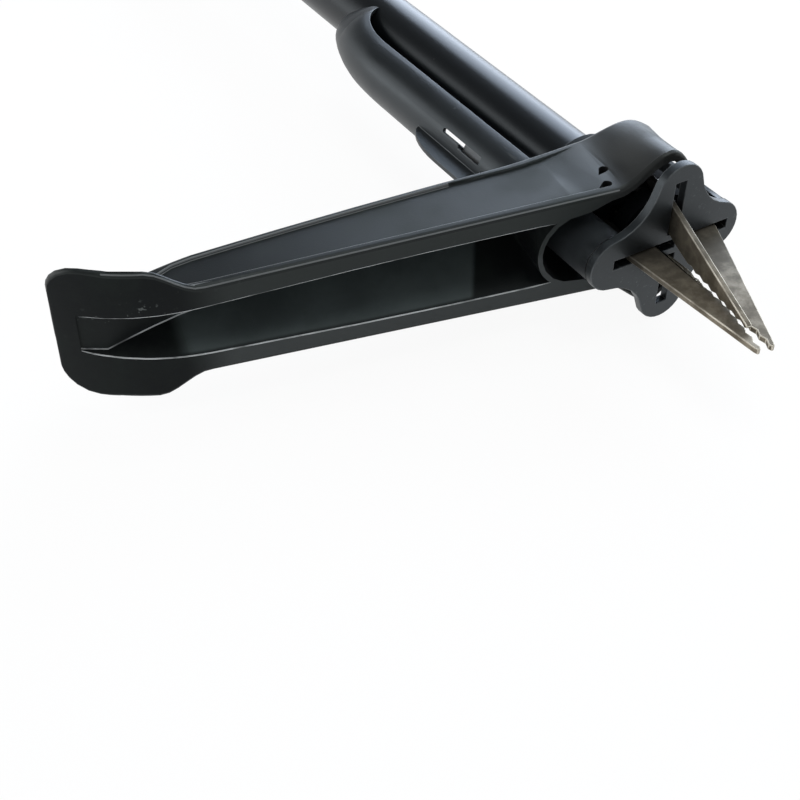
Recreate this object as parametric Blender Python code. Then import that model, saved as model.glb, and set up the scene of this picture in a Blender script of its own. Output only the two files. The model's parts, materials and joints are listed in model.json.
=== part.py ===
# Stand-up weed puller with a foot pedal and four claws, lying on its side.
# Metres. +Y runs up the shaft to the handle, -X is the way the pedal reaches, +Z is up.

import bpy
import bmesh
from math import acos, asin, cos, hypot, pi, radians, sin, sqrt
from mathutils import Matrix, Vector

# Clearances
FIT = 0.0003
RUN = 0.0006
OVERCUT = 0.2

# Shaft: a round tube, set a little towards the pedal from the middle of the claw plate
TUBE_RADIUS = 0.0125
TUBE_WALL = 0.0015
TUBE_REACH = 0.0025
TUBE_FOOT = 0.028
TUBE_LENGTH = 0.822
TUBE_TOP = TUBE_FOOT + TUBE_LENGTH

# Claw plate: four round lobes, a slot for each claw, and a boss behind two of the lobes
PLATE_THICKNESS = 0.003
LOBE_RADIUS = 0.0087
PEDAL_LOBE = 0.0223
FAR_LOBE = 0.0178
SIDE_LOBE = 0.0194
VALLEY_RADIUS = 0.017
SLOT_WIDTH = 0.0034
SLOT_OUTER = 0.0223
SLOT_INNER = 0.0046
SIDE_SLOT_INNER = 0.0038
PEDAL_SLOT_INNER = -0.0015
BOSS_TOP = 0.0372
FAR_BLOCK_WALL = 0.0065
BOSS_SLOT_TOP = 0.026

# The pedal and the claws stand at this angle to the shaft
CANT = radians(10.8)

# Claws, in a frame whose middle line runs through the plate's centre
CLAW_THICKNESS = 0.0019
CLAW_PIN_RADIAL = 0.0105
CLAW_PIN_HEIGHT = 0.0165
CLAW_PIN_RADIUS = 0.002
CLAW_EYE = 0.005
CLAW_SHOULDER = (0.0172, 0.003)
CLAW_THROAT = (0.0059, 0.0072)
CLAW_HEEL = (0.0060, 0.0)
CLAW_WAIST = (0.0005, -0.033)
CLAW_TIP_FOOT = -0.0536
CLAW_TIP_OUTER = 0.0032
CLAW_TIP_INNER = 0.0014
CLAW_TIP_ROUND = 0.0011
CLAW_BOW = 1.3
CLAW_TEETH_TOP = -0.0125
CLAW_TOOTH_PITCH = 0.0047
CLAW_TOOTH_DEPTH = 0.0008
CLAW_TOOTH_POINTS = 4
SIDE_CLAW_SHOULDER = (0.0148, 0.004)
SIDE_CLAW_HEEL = (0.0046, 0.0015)
SIDE_CLAW_WAIST = (0.00125, -0.016)
SIDE_CLAW_TIP_FOOT = -0.0456
SIDE_CLAW_TIP_OUTER = 0.0031
SIDE_CLAW_TIP_INNER = 0.0016
SIDE_CLAW_REACH = 0.0009

# Head core: a spigot in the tube, with a slotted carrier below it for the claws
CARRIER_RADIUS = 0.0128
CARRIER_FOOT = 0.008
CARRIER_TOP = 0.0245
CARRIER_SLOT_TOP = 0.0228
CARRIER_PIN_HALF = 0.005
SPIGOT_FOOT = 0.020
SPIGOT_TOP = 0.060

# Collar that ties the two bosses to the tube
COLLAR_FOOT = BOSS_TOP + FIT
COLLAR_HEIGHT = 0.007
COLLAR_RADIUS = 0.0158
COLLAR_LUG_WIDTH = 0.013
SCREW_RADIUS = 0.0018
SCREW_HEAD_RADIUS = 0.0034
SCREW_HEAD_HEIGHT = 0.002
COLLAR_SCREW_DEPTH = 0.012

# Pedal pivot: a cross pin through the foot of the shaft
PIVOT_ALONG = 0.032
PIVOT_RADIUS = 0.003
PIVOT_HALF = 0.019
PIVOT_TO_GROUND = 0.0233

# Pedal yoke, measured along the pedal from the pivot and up from its underside
YOKE_END = -0.0173
YOKE_TOE = 0.176
ARM_HALF_HEAD = 0.0187
ARM_HALF_TOE = 0.0153
ARM_DEPTH_HEAD = 0.0265
ARM_DEPTH_TOE = 0.0167
ARM_TOE = 0.135
ARM_SAG_POWER = 1.6
HUMP_MIDDLE = -0.0093
HUMP_RUN_IN = 0.017
HUMP_RUN_OUT = 0.0086
HUMP_LOW = 0.0093
HUMP_HIGH = 0.004
HUMP_CROWN = 0.0035
ARM_FALL = 0.217
ARM_NARROWS = 0.003
TOE_HALF = 0.0223
TOE_RISE = 0.0155
TOE_RISE_POWER = 2.4
TOE_BEND = 0.133
TOE_THICKNESS = 0.003
TOE_MELT = 0.0015
TOE_CORNER = 0.009
FLARE_START = 0.136
FLARE_END = 0.151
FLANGE_THICKNESS = 0.002
FLANGE_SLOPE = 0.0008
FLANGE_EDGE = 0.9
YOKE_EDGE = 0.0014
YOKE_WALL = 0.003
HEAD_GAP_HALF = 0.0122
HEAD_GAP_ROUND = 0.0124
HEAD_GAP_MIDDLE = 0.0191
CROSS_WALL = 0.0016
CHANNEL_HALF_HEAD = 0.011
CHANNEL_HALF_TOE = 0.0063
CHANNEL_TOE = 0.170
CHANNEL_SKIN = 0.0023
CHANNEL_DRAFT = 0.41
CHANNEL_FLOOR_HALF = 0.0025
CHANNEL_START = 0.6
PANEL_DEPTH = 0.0011
PANEL_RIM = 0.0024
PANEL_START = 0.004
PANEL_DEEP = 0.026
PANEL_RISE = 0.2
PANEL_END = 0.154
PANEL_FADE = 0.012
DROP_HOLES = ((0.0073, 0.0118, radians(40)), (0.0097, 0.0045, radians(20)))
DROP_RADIUS = 0.0015
DROP_LENGTH = 0.0037
DROP_SWEEP = 0.6 * pi
PIVOT_BOSS_RADIUS = 0.0055
TREAD_RIBS = 4
TREAD_PITCH = 0.0065
TREAD_HEIGHT = 0.0012
TREAD_HALF = 0.0105
TREAD_WIDTH = 0.002

# Half-round cover beside the shaft, with a hood over the spring's seat and a fin along its crest
COVER_REACH = 0.02
COVER_RADIUS = 0.011
COVER_WALL = 0.0015
COVER_FOOT = 0.0453
COVER_FOOT_SLOPE = 0.34
SEAT_FOOT = 0.139
SEAT_HEIGHT = 0.008
SEAT_TOP = SEAT_FOOT + SEAT_HEIGHT
HOOD_BELOW_SEAT = 0.013
HOOD_TIP_OVER_SEAT = 0.014
HOOD_CAP = 0.014
HOOD_START = SEAT_FOOT - HOOD_BELOW_SEAT
HOOD_TIP = SEAT_TOP + HOOD_TIP_OVER_SEAT
HOOD_TOP = HOOD_TIP + HOOD_CAP
HOOD_ROOT = 0.0075
HOOD_POWER = 0.5
HOOD_TAPER = 0.5
LIP_BELOW_SEAT = 0.002
LIP_START = SEAT_FOOT - LIP_BELOW_SEAT
LIP_HALF = 0.0115
WINDOW_FOOT = 0.062
WINDOW_STEP = 0.0745
WINDOW_TOP = 0.084
WINDOW_WIDE = 0.0028
WINDOW_NARROW = 0.0015
WINDOW_TURN = radians(28)
FIN_OUT = 0.0374
FIN_THICKNESS = 0.0016
FIN_FOOT = 0.062
FIN_SHOULDER = 0.077
FIN_TOP = 0.097

# Spring-loaded slider under the cover, whose toe stands over the pedal's cross wall
SLIDER_TRAVEL = 0.0082
SLIDER_FOOT = 0.042
SLIDER_STEP = 0.0452
SLIDER_TOE_TOP = 0.051
SLIDER_TOE_IN = 0.033
SLIDER_TOE_OUT = 0.0366
SLIDER_TOE_HALF = 0.0024
SLIDER_BLOCK_FOOT = 0.050
SLIDER_BLOCK_TOP = 0.0735
SLIDER_BLOCK_IN = 0.0255
SLIDER_BLOCK_HALF = 0.005
SLIDER_BAR_FOOT = 0.048
SLIDER_BAR_IN = 0.0277
SLIDER_BAR_HALF = 0.0034
SLIDER_HEAD_TOP = 0.106
SLIDER_HEAD_THICKNESS = 0.003
SLIDER_HEAD_IN = 0.018
SLIDER_HEAD_HALF = 0.0055
SPRING_RADIUS = 0.0042
SPRING_WIRE = 0.0006
SPRING_TURNS = 8
SPRING_POINTS = 9
SPRING_REACH = 0.0228

# Rail on the tube that the slider runs along, with the spring's seat at its head
RAIL_IN = 0.0115
RAIL_OUT = 0.0165
RAIL_HALF = 0.0042
RAIL_FOOT = 0.0475
SEAT_OUT = 0.0262

# Loop handle in the plane of the pedal, moulded in two halves, with a soft grip
HANDLE_HALF_LONG = 0.052
HANDLE_HALF_WIDE = 0.042
HANDLE_SECTION = 0.0125
HANDLE_ABOVE_TUBE = 0.016
HANDLE_MIDDLE = TUBE_TOP + HANDLE_ABOVE_TUBE + HANDLE_HALF_LONG
SOCKET_HOLD = 0.060
SOCKET_OVERLAP = 0.006
SOCKET_FOOT = TUBE_TOP - SOCKET_HOLD
SOCKET_TOP = TUBE_TOP + HANDLE_ABOVE_TUBE + SOCKET_OVERLAP
SOCKET_HALF_WIDE = 0.0225
SOCKET_HALF_DEEP = 0.0165
SOCKET_ROUND = 0.006
HANDLE_SCREW_OFFSET = 0.0178
HANDLE_SCREW_INSET = 0.012
HANDLE_SCREWS_ALONG = (SOCKET_FOOT + HANDLE_SCREW_INSET, TUBE_TOP - HANDLE_SCREW_INSET)
GRIP_WALL = 0.0022
GRIP_SWEEP = radians(75)

# Facets round tubes and pins, along short and long arcs, and sections along lofted pieces
ROUND_STEPS = 32
PIN_STEPS = 16
ARC_STEPS = 8
LOBE_STEPS = 12
VALLEY_STEPS = 6
EDGE_STEPS = 2
ARCH_STEPS = 16
NEAR_STATIONS = 5
STATIONS = 10
FAR_STATIONS = 24
LOOP_STATIONS = 40
TOE_TURNS = (20, 40, 57, 72, 83)
GAP_TURNS = (20, 40, 60, 75, 90)

PLASTIC = ("black_plastic", (0.030, 0.032, 0.036), 0.42, 0.0)
SOFT_PLASTIC = ("slider_plastic", (0.045, 0.047, 0.050), 0.5, 0.0)
PAINT = ("black_paint", (0.022, 0.022, 0.024), 0.28, 0.3)
STEEL = ("claw_steel", (0.42, 0.40, 0.36), 0.38, 1.0)
ZINC = ("zinc_steel", (0.55, 0.55, 0.54), 0.35, 1.0)
RUBBER = ("grip_rubber", (0.018, 0.018, 0.019), 0.8, 0.0)


def clear_scene():
    for item in list(bpy.data.objects):
        bpy.data.objects.remove(item, do_unlink=True)


def spot(reach, along, side):
    """A place given by its reach towards the pedal, its height up the shaft and its side."""
    return Vector((-reach, along, side))


def smooth_step(start, end, value):
    part = min(max((value - start) / (end - start), 0.0), 1.0)
    return part * part * (3.0 - 2.0 * part)


def blend(low, high, part):
    return low + (high - low) * part


def new_material(spec):
    name, colour, roughness, metallic = spec
    material = bpy.data.materials.new(name)
    material.use_nodes = True
    shader = material.node_tree.nodes["Principled BSDF"]
    shader.inputs["Base Color"].default_value = (*colour, 1.0)
    shader.inputs["Roughness"].default_value = roughness
    shader.inputs["Metallic"].default_value = metallic
    return material


def new_empty(name, parent, location=(0.0, 0.0, 0.0), turn=0.0):
    empty = bpy.data.objects.new(name, None)
    empty.parent = parent
    empty.location = location
    empty.rotation_euler = (0.0, 0.0, turn)
    bpy.context.scene.collection.objects.link(empty)
    return empty


def object_from(bm, name, spec=None, parent=None):
    bmesh.ops.remove_doubles(bm, verts=bm.verts, dist=1e-7)
    bmesh.ops.recalc_face_normals(bm, faces=bm.faces)
    mesh = bpy.data.meshes.new(name)
    bm.to_mesh(mesh)
    bm.free()
    item = bpy.data.objects.new(name, mesh)
    item.parent = parent
    bpy.context.scene.collection.objects.link(item)
    if spec:
        mesh.materials.append(new_material(spec))
    return item


def shade_round(item, angle=radians(35)):
    item.data.shade_smooth()
    item.data.set_sharp_from_angle(angle=angle)


def combine(item, other, operation):
    """Apply one exact Boolean and remove the tool object."""
    other.parent = item.parent
    modifier = item.modifiers.new(operation.lower(), "BOOLEAN")
    modifier.operation = operation
    modifier.solver = "EXACT"
    modifier.object = other
    graph = bpy.context.evaluated_depsgraph_get()
    mesh = bpy.data.meshes.new_from_object(item.evaluated_get(graph))
    item.modifiers.clear()
    old = item.data
    item.data = mesh
    mesh.name = item.name
    bpy.data.meshes.remove(old)
    bpy.data.objects.remove(other, do_unlink=True)
    return item


def cut(item, other):
    return combine(item, other, "DIFFERENCE")


def join(item, other):
    return combine(item, other, "UNION")


def loft(name, rings, spec=None, parent=None, closed=False):
    """A skin over rings of equal length, capped at both ends or closed into a loop."""
    bm = bmesh.new()
    rows = [[bm.verts.new(point) for point in ring] for ring in rings]
    pairs = list(zip(rows, rows[1:]))
    if closed:
        pairs.append((rows[-1], rows[0]))
    else:
        bm.faces.new(rows[0])
        bm.faces.new(rows[-1])
    for low, high in pairs:
        for index in range(len(low)):
            bm.faces.new((low[index - 1], low[index], high[index], high[index - 1]))
    bmesh.ops.triangulate(bm, faces=bm.faces)
    return object_from(bm, name, spec, parent)


def box(name, low, high, spec=None, parent=None):
    bm = bmesh.new()
    bmesh.ops.create_cube(bm, size=1.0)
    size = Vector(high) - Vector(low)
    middle = (Vector(high) + Vector(low)) / 2.0
    size = Vector((abs(size.x), abs(size.y), abs(size.z)))
    bmesh.ops.scale(bm, verts=bm.verts, vec=size)
    bmesh.ops.translate(bm, verts=bm.verts, vec=middle)
    return object_from(bm, name, spec, parent)


def rod(name, start, end, radius, spec=None, parent=None, steps=PIN_STEPS):
    """A round bar between two points."""
    bm = bmesh.new()
    way = Vector(end) - Vector(start)
    turn = Vector((0.0, 0.0, 1.0)).rotation_difference(way).to_matrix().to_4x4()
    place = Matrix.Translation((Vector(start) + Vector(end)) / 2.0)
    bmesh.ops.create_cone(bm, cap_ends=True, segments=steps, radius1=radius, radius2=radius,
                          depth=way.length, matrix=place @ turn)
    return object_from(bm, name, spec, parent)


def slab(name, outline, low, high, spec=None, parent=None):
    """An outline in the X-Y plane, extruded from one height to another."""
    bm = bmesh.new()
    base = bm.faces.new([bm.verts.new((x, y, low)) for x, y in outline])
    grown = bmesh.ops.extrude_face_region(bm, geom=[base])
    top = [part for part in grown["geom"] if isinstance(part, bmesh.types.BMVert)]
    bmesh.ops.translate(bm, verts=top, vec=(0.0, 0.0, high - low))
    return object_from(bm, name, spec, parent)


def arc_points(middle, radius, start, end, steps):
    return [(middle[0] + radius * cos(blend(start, end, index / steps)),
             middle[1] + radius * sin(blend(start, end, index / steps)))
            for index in range(steps + 1)]


def shaft_tube(root):
    foot = spot(TUBE_REACH, TUBE_FOOT, 0.0)
    top = spot(TUBE_REACH, TUBE_TOP, 0.0)
    spare = Vector((0.0, TUBE_RADIUS, 0.0))
    tube = rod("shaft_tube", foot, top, TUBE_RADIUS, PAINT, root, ROUND_STEPS)
    cut(tube, rod("bore", foot - spare, top + spare, TUBE_RADIUS - TUBE_WALL, steps=ROUND_STEPS))
    cut(tube, pivot_bore())
    shade_round(tube)


def pivot_bore():
    half = TUBE_RADIUS + FIT * 10
    return rod("pivot_bore", spot(TUBE_REACH, PIVOT_ALONG, -half), spot(TUBE_REACH, PIVOT_ALONG, half),
               PIVOT_RADIUS + FIT)


def valley_middle(first, second):
    """Centre of the hollow that runs into two lobes, which stand at right angles."""
    reach = LOBE_RADIUS + VALLEY_RADIUS
    half = hypot(first, second) / 2.0
    out = sqrt(reach * reach - half * half)
    return (first / 2.0 + out * second / (2.0 * half), second / 2.0 + out * first / (2.0 * half))


def lobe_outline():
    """The plate's outline, seen from the handle, with reach along -X."""
    lobes = ((0.0, FAR_LOBE), (pi / 2, SIDE_LOBE), (pi, PEDAL_LOBE), (3 * pi / 2, SIDE_LOBE))
    points = []
    for index, (turn, out) in enumerate(lobes):
        before = lobes[index - 1][1]
        after = lobes[(index + 1) % 4][1]
        low = valley_middle(out, before)
        high = valley_middle(out, after)
        low_touch = acos((low[0] - out) / (LOBE_RADIUS + VALLEY_RADIUS))
        high_touch = acos((high[0] - out) / (LOBE_RADIUS + VALLEY_RADIUS))
        next_touch = acos((high[1] - after) / (LOBE_RADIUS + VALLEY_RADIUS))
        local = arc_points((out, 0.0), LOBE_RADIUS, -low_touch, high_touch, LOBE_STEPS)
        local += arc_points(high, VALLEY_RADIUS, pi + high_touch, 1.5 * pi - next_touch, VALLEY_STEPS)[1:-1]
        points += [(x * cos(turn) - z * sin(turn), x * sin(turn) + z * cos(turn)) for x, z in local]
    return points


def claw_plate(root):
    plate = slab("claw_plate", lobe_outline(), 0.0, PLATE_THICKNESS, PLASTIC, root)
    plate.data.transform(Matrix.Rotation(-pi / 2, 4, "X") @ Matrix.Scale(-1.0, 4, (0.0, 1.0, 0.0)))
    plate.data.flip_normals()
    join(plate, rod("boss", spot(PEDAL_LOBE, PLATE_THICKNESS / 2, 0.0), spot(PEDAL_LOBE, BOSS_TOP, 0.0),
                    LOBE_RADIUS - FIT, steps=ROUND_STEPS))
    far = FAR_LOBE + LOBE_RADIUS - FIT * 2
    block = rod("block", spot(-FAR_LOBE, PLATE_THICKNESS / 2, 0.0), spot(-FAR_LOBE, BOSS_TOP, 0.0),
                LOBE_RADIUS - FIT, steps=ROUND_STEPS)
    cut(block, box("flat", spot(FAR_BLOCK_WALL - far, 0.0, -LOBE_RADIUS * 2),
                   spot(0.0, BOSS_TOP * 2, LOBE_RADIUS * 2)))
    join(plate, block)
    under = -PLATE_THICKNESS
    half = SLOT_WIDTH / 2
    shift = sin(CANT) * PLATE_THICKNESS / 2
    cut(plate, box("slot", spot(PEDAL_SLOT_INNER, under, -half), spot(SLOT_OUTER, BOSS_SLOT_TOP, half)))
    cut(plate, box("slot", spot(-SLOT_INNER, under, -half), spot(-SLOT_OUTER, BOSS_SLOT_TOP, half)))
    for side in (1.0, -1.0):
        cut(plate, box("slot", spot(-shift - half, under, side * SIDE_SLOT_INNER),
                       spot(half - shift + SIDE_CLAW_REACH, PLATE_THICKNESS * 2, side * SLOT_OUTER)))
    cut(plate, rod("tube_seat", spot(TUBE_REACH, TUBE_FOOT - FIT, 0.0),
                   spot(TUBE_REACH, BOSS_TOP + TUBE_RADIUS, 0.0), TUBE_RADIUS + FIT, steps=ROUND_STEPS))
    for reach in (PEDAL_LOBE, -collar_screw_reach()):
        cut(plate, rod("pilot", spot(reach, BOSS_TOP - COLLAR_SCREW_DEPTH - RUN, 0.0),
                       spot(reach, BOSS_TOP + RUN, 0.0), SCREW_RADIUS + FIT))
    shade_round(plate)


def collar_screw_reach():
    return FAR_LOBE + LOBE_RADIUS - FIT * 2 - FAR_BLOCK_WALL / 2


def head_core(root, cluster):
    core = rod("head_core", spot(TUBE_REACH, SPIGOT_FOOT, 0.0), spot(TUBE_REACH, SPIGOT_TOP, 0.0),
               TUBE_RADIUS - TUBE_WALL - FIT, PLASTIC, root, ROUND_STEPS)
    carrier = rod("carrier", (0.0, CARRIER_FOOT, 0.0), (0.0, CARRIER_TOP, 0.0), CARRIER_RADIUS,
                  steps=ROUND_STEPS)
    carrier.data.transform(cluster.matrix_basis)
    join(core, carrier)
    for turn in claw_turns():
        slot = box("slot", (SLOT_INNER, -CARRIER_FOOT, -SLOT_WIDTH / 2),
                   (CARRIER_RADIUS * 2, CARRIER_SLOT_TOP, SLOT_WIDTH / 2))
        pin = rod("pin", (CLAW_PIN_RADIAL, CLAW_PIN_HEIGHT, -CARRIER_RADIUS),
                  (CLAW_PIN_RADIAL, CLAW_PIN_HEIGHT, CARRIER_RADIUS), CLAW_PIN_RADIUS + FIT)
        for tool in (slot, pin):
            tool.data.transform(cluster.matrix_basis @ claw_place(turn))
            cut(core, tool)
    cut(core, pivot_bore())
    shade_round(core)


def claw_turns():
    """Turns about the claws' middle line, from the far claw round to the upper one."""
    return (0.0, pi / 2, pi, -pi / 2)


def claw_place(turn):
    """Where a claw's plane stands: the upper and lower ones are set a little towards the pedal."""
    reach = SIDE_CLAW_REACH * abs(sin(turn))
    return Matrix.Translation(spot(reach, 0.0, 0.0)) @ Matrix.Rotation(turn, 4, "Y")


def claw_inner(height, heel, waist, tip):
    """How far a claw's inner edge stands out: bowed from its waist to its heel and to its tip."""
    end = heel if height > waist[1] else tip
    part = (height - waist[1]) / (end[1] - waist[1])
    return blend(waist[0], end[0], part ** CLAW_BOW)


def claw_outline(shoulder, heel, waist, tip, tip_outer):
    """A claw seen flat, with its pin at the origin: radial distance and height."""
    pin = Vector((CLAW_PIN_RADIAL, CLAW_PIN_HEIGHT))
    points = [shoulder]
    points.append((tip_outer, tip[1] + CLAW_TIP_ROUND))
    points.append((tip_outer - CLAW_TIP_ROUND / 2, tip[1]))
    points.append((tip[0] + CLAW_TIP_ROUND / 2, tip[1]))
    teeth = round((CLAW_TEETH_TOP - tip[1]) / CLAW_TOOTH_PITCH)
    heights = spread(tip[1] + CLAW_TIP_ROUND, CLAW_TEETH_TOP, teeth * CLAW_TOOTH_POINTS)
    for index, height in enumerate(heights):
        bite = CLAW_TOOTH_DEPTH * (1.0 - cos(2.0 * pi * index / CLAW_TOOTH_POINTS)) / 2.0
        points.append((claw_inner(height, heel, waist, tip) + bite, height))
    for height in spread(CLAW_TEETH_TOP, heel[1], NEAR_STATIONS)[1:]:
        points.append((claw_inner(height, heel, waist, tip), height))
    points.append(CLAW_THROAT)
    eye = arc_points(tuple(pin), CLAW_EYE, pi, 0.0, STATIONS)
    return [(x - pin.x, y - pin.y) for x, y in points + eye]


def claw_shape(turn):
    """The outline of the claw at a turn: the upper and lower claws are shorter and reach further in."""
    if abs(sin(turn)) > 0.5:
        tip = (SIDE_CLAW_TIP_INNER, SIDE_CLAW_TIP_FOOT)
        return claw_outline(SIDE_CLAW_SHOULDER, SIDE_CLAW_HEEL, SIDE_CLAW_WAIST, tip, SIDE_CLAW_TIP_OUTER)
    tip = (CLAW_TIP_INNER, CLAW_TIP_FOOT)
    return claw_outline(CLAW_SHOULDER, CLAW_HEEL, CLAW_WAIST, tip, CLAW_TIP_OUTER)


def claws(cluster):
    names = ("claw_far", "claw_lower", "claw_pedal", "claw_upper")
    for name, turn in zip(names, claw_turns()):
        claw = slab(name, claw_shape(turn), -CLAW_THICKNESS / 2, CLAW_THICKNESS / 2, STEEL, cluster)
        cut(claw, rod("eye", (0.0, 0.0, -CLAW_THICKNESS), (0.0, 0.0, CLAW_THICKNESS), CLAW_PIN_RADIUS + FIT))
        claw.location = claw_place(turn) @ Vector((CLAW_PIN_RADIAL, CLAW_PIN_HEIGHT, 0.0))
        claw.rotation_euler = (0.0, turn, 0.0)
        pin = rod(name + "_pin", (0.0, 0.0, -CARRIER_PIN_HALF), (0.0, 0.0, CARRIER_PIN_HALF),
                  CLAW_PIN_RADIUS, ZINC, cluster)
        pin.location = claw.location
        pin.rotation_euler = claw.rotation_euler
        shade_round(claw)
        shade_round(pin)


def pivot_pin(root):
    pin = rod("pedal_pivot_pin", spot(TUBE_REACH, PIVOT_ALONG, -PIVOT_HALF),
              spot(TUBE_REACH, PIVOT_ALONG, PIVOT_HALF), PIVOT_RADIUS, ZINC, root)
    shade_round(pin)


def head_collar(root):
    collar_top = COLLAR_FOOT + COLLAR_HEIGHT
    collar = rod("head_collar", spot(TUBE_REACH, COLLAR_FOOT, 0.0), spot(TUBE_REACH, collar_top, 0.0),
                 COLLAR_RADIUS, PLASTIC, root, ROUND_STEPS)
    half = COLLAR_LUG_WIDTH / 2
    far = FAR_LOBE + LOBE_RADIUS - FIT * 2
    join(collar, box("lug", spot(-far, COLLAR_FOOT, -half), spot(PEDAL_LOBE, collar_top, half)))
    join(collar, rod("nose", spot(PEDAL_LOBE, COLLAR_FOOT, 0.0), spot(PEDAL_LOBE, collar_top, 0.0), half,
                     steps=ROUND_STEPS))
    spare = Vector((0.0, COLLAR_HEIGHT, 0.0))
    cut(collar, rod("bore", spot(TUBE_REACH, COLLAR_FOOT, 0.0) - spare,
                    spot(TUBE_REACH, collar_top, 0.0) + spare, TUBE_RADIUS + FIT, steps=ROUND_STEPS))
    for name, reach in (("collar_screw_pedal", PEDAL_LOBE), ("collar_screw_far", -collar_screw_reach())):
        foot = spot(reach, BOSS_TOP - COLLAR_SCREW_DEPTH, 0.0)
        head = spot(reach, collar_top - SCREW_HEAD_HEIGHT, 0.0)
        top = spot(reach, collar_top, 0.0)
        cut(collar, rod("hole", foot, top + spare, SCREW_RADIUS + FIT))
        cut(collar, rod("sink", head - Vector((0.0, FIT, 0.0)), top + spare, SCREW_HEAD_RADIUS + FIT))
        screw = rod(name, foot, head + Vector((0.0, FIT, 0.0)), SCREW_RADIUS, ZINC, root)
        join(screw, rod("head", head, top, SCREW_HEAD_RADIUS))
        shade_round(screw)
    shade_round(collar)


def yoke_underside(run):
    part = max(run - TOE_BEND, 0.0) / (YOKE_TOE - TOE_BEND)
    return TOE_RISE * part ** TOE_RISE_POWER


def yoke_topside(run):
    part = min(max(run, 0.0) / ARM_TOE, 1.0)
    arm = ARM_DEPTH_HEAD - (ARM_DEPTH_HEAD - ARM_DEPTH_TOE) * part ** ARM_SAG_POWER
    arm += HUMP_CROWN * (1.0 - smooth_step(0.0, 2 * HUMP_RUN_IN, run))
    arm -= ARM_FALL * max(run - ARM_TOE, 0.0)
    toe = yoke_underside(run) + TOE_THICKNESS
    return (arm + toe + hypot(arm - toe, TOE_MELT)) / 2.0


def hump(run):
    if run > HUMP_MIDDLE:
        part = min((run - HUMP_MIDDLE) / HUMP_RUN_IN, 1.0)
        return (1.0 + cos(pi * part)) / 2.0
    return cos(pi / 2 * min((HUMP_MIDDLE - run) / HUMP_RUN_OUT, 1.0))


def toe_corner(run):
    """How far the round corners of the toe draw its edge in."""
    past = max(run - (YOKE_TOE - TOE_CORNER), 0.0)
    return TOE_CORNER - sqrt(max(TOE_CORNER ** 2 - past ** 2, 0.0))


def yoke_half(run, rise):
    """Half width of the arms at a height given as a share of their depth."""
    arm = blend(ARM_HALF_HEAD, ARM_HALF_TOE, min(max(run, 0.0) / ARM_TOE, 1.0))
    arm -= ARM_NARROWS * smooth_step(ARM_TOE, YOKE_TOE, run)
    return arm - toe_corner(run) + hump(run) * blend(HUMP_LOW, HUMP_HIGH, rise)


def flange_half(run):
    """Half width at the underside, where the toe flares into a thin foot plate."""
    return blend(yoke_half(run, 0.0), TOE_HALF - toe_corner(run), smooth_step(FLARE_START, FLARE_END, run))


def yoke_point(run, height, side):
    return Vector((-run, height - PIVOT_TO_GROUND, side))


def yoke_ring(run):
    """A section across the yoke, with its four edges rounded."""
    low = yoke_underside(run)
    high = yoke_topside(run)
    edge = min(YOKE_EDGE, (high - low) / 4)
    neck = low + FLANGE_THICKNESS + FLANGE_SLOPE * smooth_step(FLARE_START, FLARE_END, run)
    neck_half = yoke_half(run, (neck - low) / (high - low))
    right = arc_points((flange_half(run) - edge, low + edge), edge, -pi / 2, 0.0, EDGE_STEPS)
    right.append((neck_half + flange_half(run) - yoke_half(run, 0.0), low + FLANGE_THICKNESS * FLANGE_EDGE))
    right.append((neck_half, min(neck, high - edge * 2)))
    right += arc_points((yoke_half(run, 1.0) - edge, high - edge), edge, 0.0, pi / 2, EDGE_STEPS)
    left = [(-across, up) for across, up in reversed(right)]
    return [yoke_point(run, up, across) for across, up in right + left]


def spread(start, end, steps):
    return [blend(start, end, index / steps) for index in range(steps + 1)]


def yoke_body(hinge):
    runs = spread(YOKE_END, HUMP_MIDDLE + HUMP_RUN_IN, ARCH_STEPS)
    runs += spread(HUMP_MIDDLE + HUMP_RUN_IN, ARM_TOE, STATIONS)[1:]
    runs += spread(ARM_TOE, YOKE_TOE - TOE_CORNER, LOBE_STEPS)[1:]
    runs += [YOKE_TOE - TOE_CORNER * (1.0 - sin(radians(turn))) for turn in TOE_TURNS]
    return loft("pedal_yoke", [yoke_ring(run) for run in runs], PLASTIC, hinge)


def head_gap_half(run, rise):
    if run > HEAD_GAP_MIDDLE:
        return sqrt(max(HEAD_GAP_ROUND ** 2 - (run - HEAD_GAP_MIDDLE) ** 2, FIT ** 2))
    wide = yoke_half(run, rise) - YOKE_WALL
    return blend(wide, HEAD_GAP_HALF, smooth_step(HUMP_MIDDLE + HUMP_RUN_IN, HEAD_GAP_MIDDLE, run))


def head_gap():
    """The open space between the arms that holds the head of the shaft."""
    runs = spread(YOKE_END - YOKE_WALL, HUMP_MIDDLE + HUMP_RUN_IN, LOBE_STEPS)
    runs += spread(HUMP_MIDDLE + HUMP_RUN_IN, HEAD_GAP_MIDDLE, NEAR_STATIONS)[1:]
    runs += [HEAD_GAP_MIDDLE + HEAD_GAP_ROUND * sin(radians(turn)) for turn in GAP_TURNS]
    rings = []
    for run in runs:
        section = max(run, YOKE_END)
        low = head_gap_half(section, 0.0) if run <= HEAD_GAP_MIDDLE else head_gap_half(run, 0.0)
        high = head_gap_half(section, 1.0) if run <= HEAD_GAP_MIDDLE else head_gap_half(run, 1.0)
        spare = (low - high) * OVERCUT
        depth = yoke_topside(section)
        foot = -depth * OVERCUT
        top = depth * (1.0 + OVERCUT)
        rings.append([yoke_point(run, foot, low + spare), yoke_point(run, top, high - spare),
                      yoke_point(run, top, spare - high), yoke_point(run, foot, -low - spare)])
    return loft("head_gap", rings)


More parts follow.
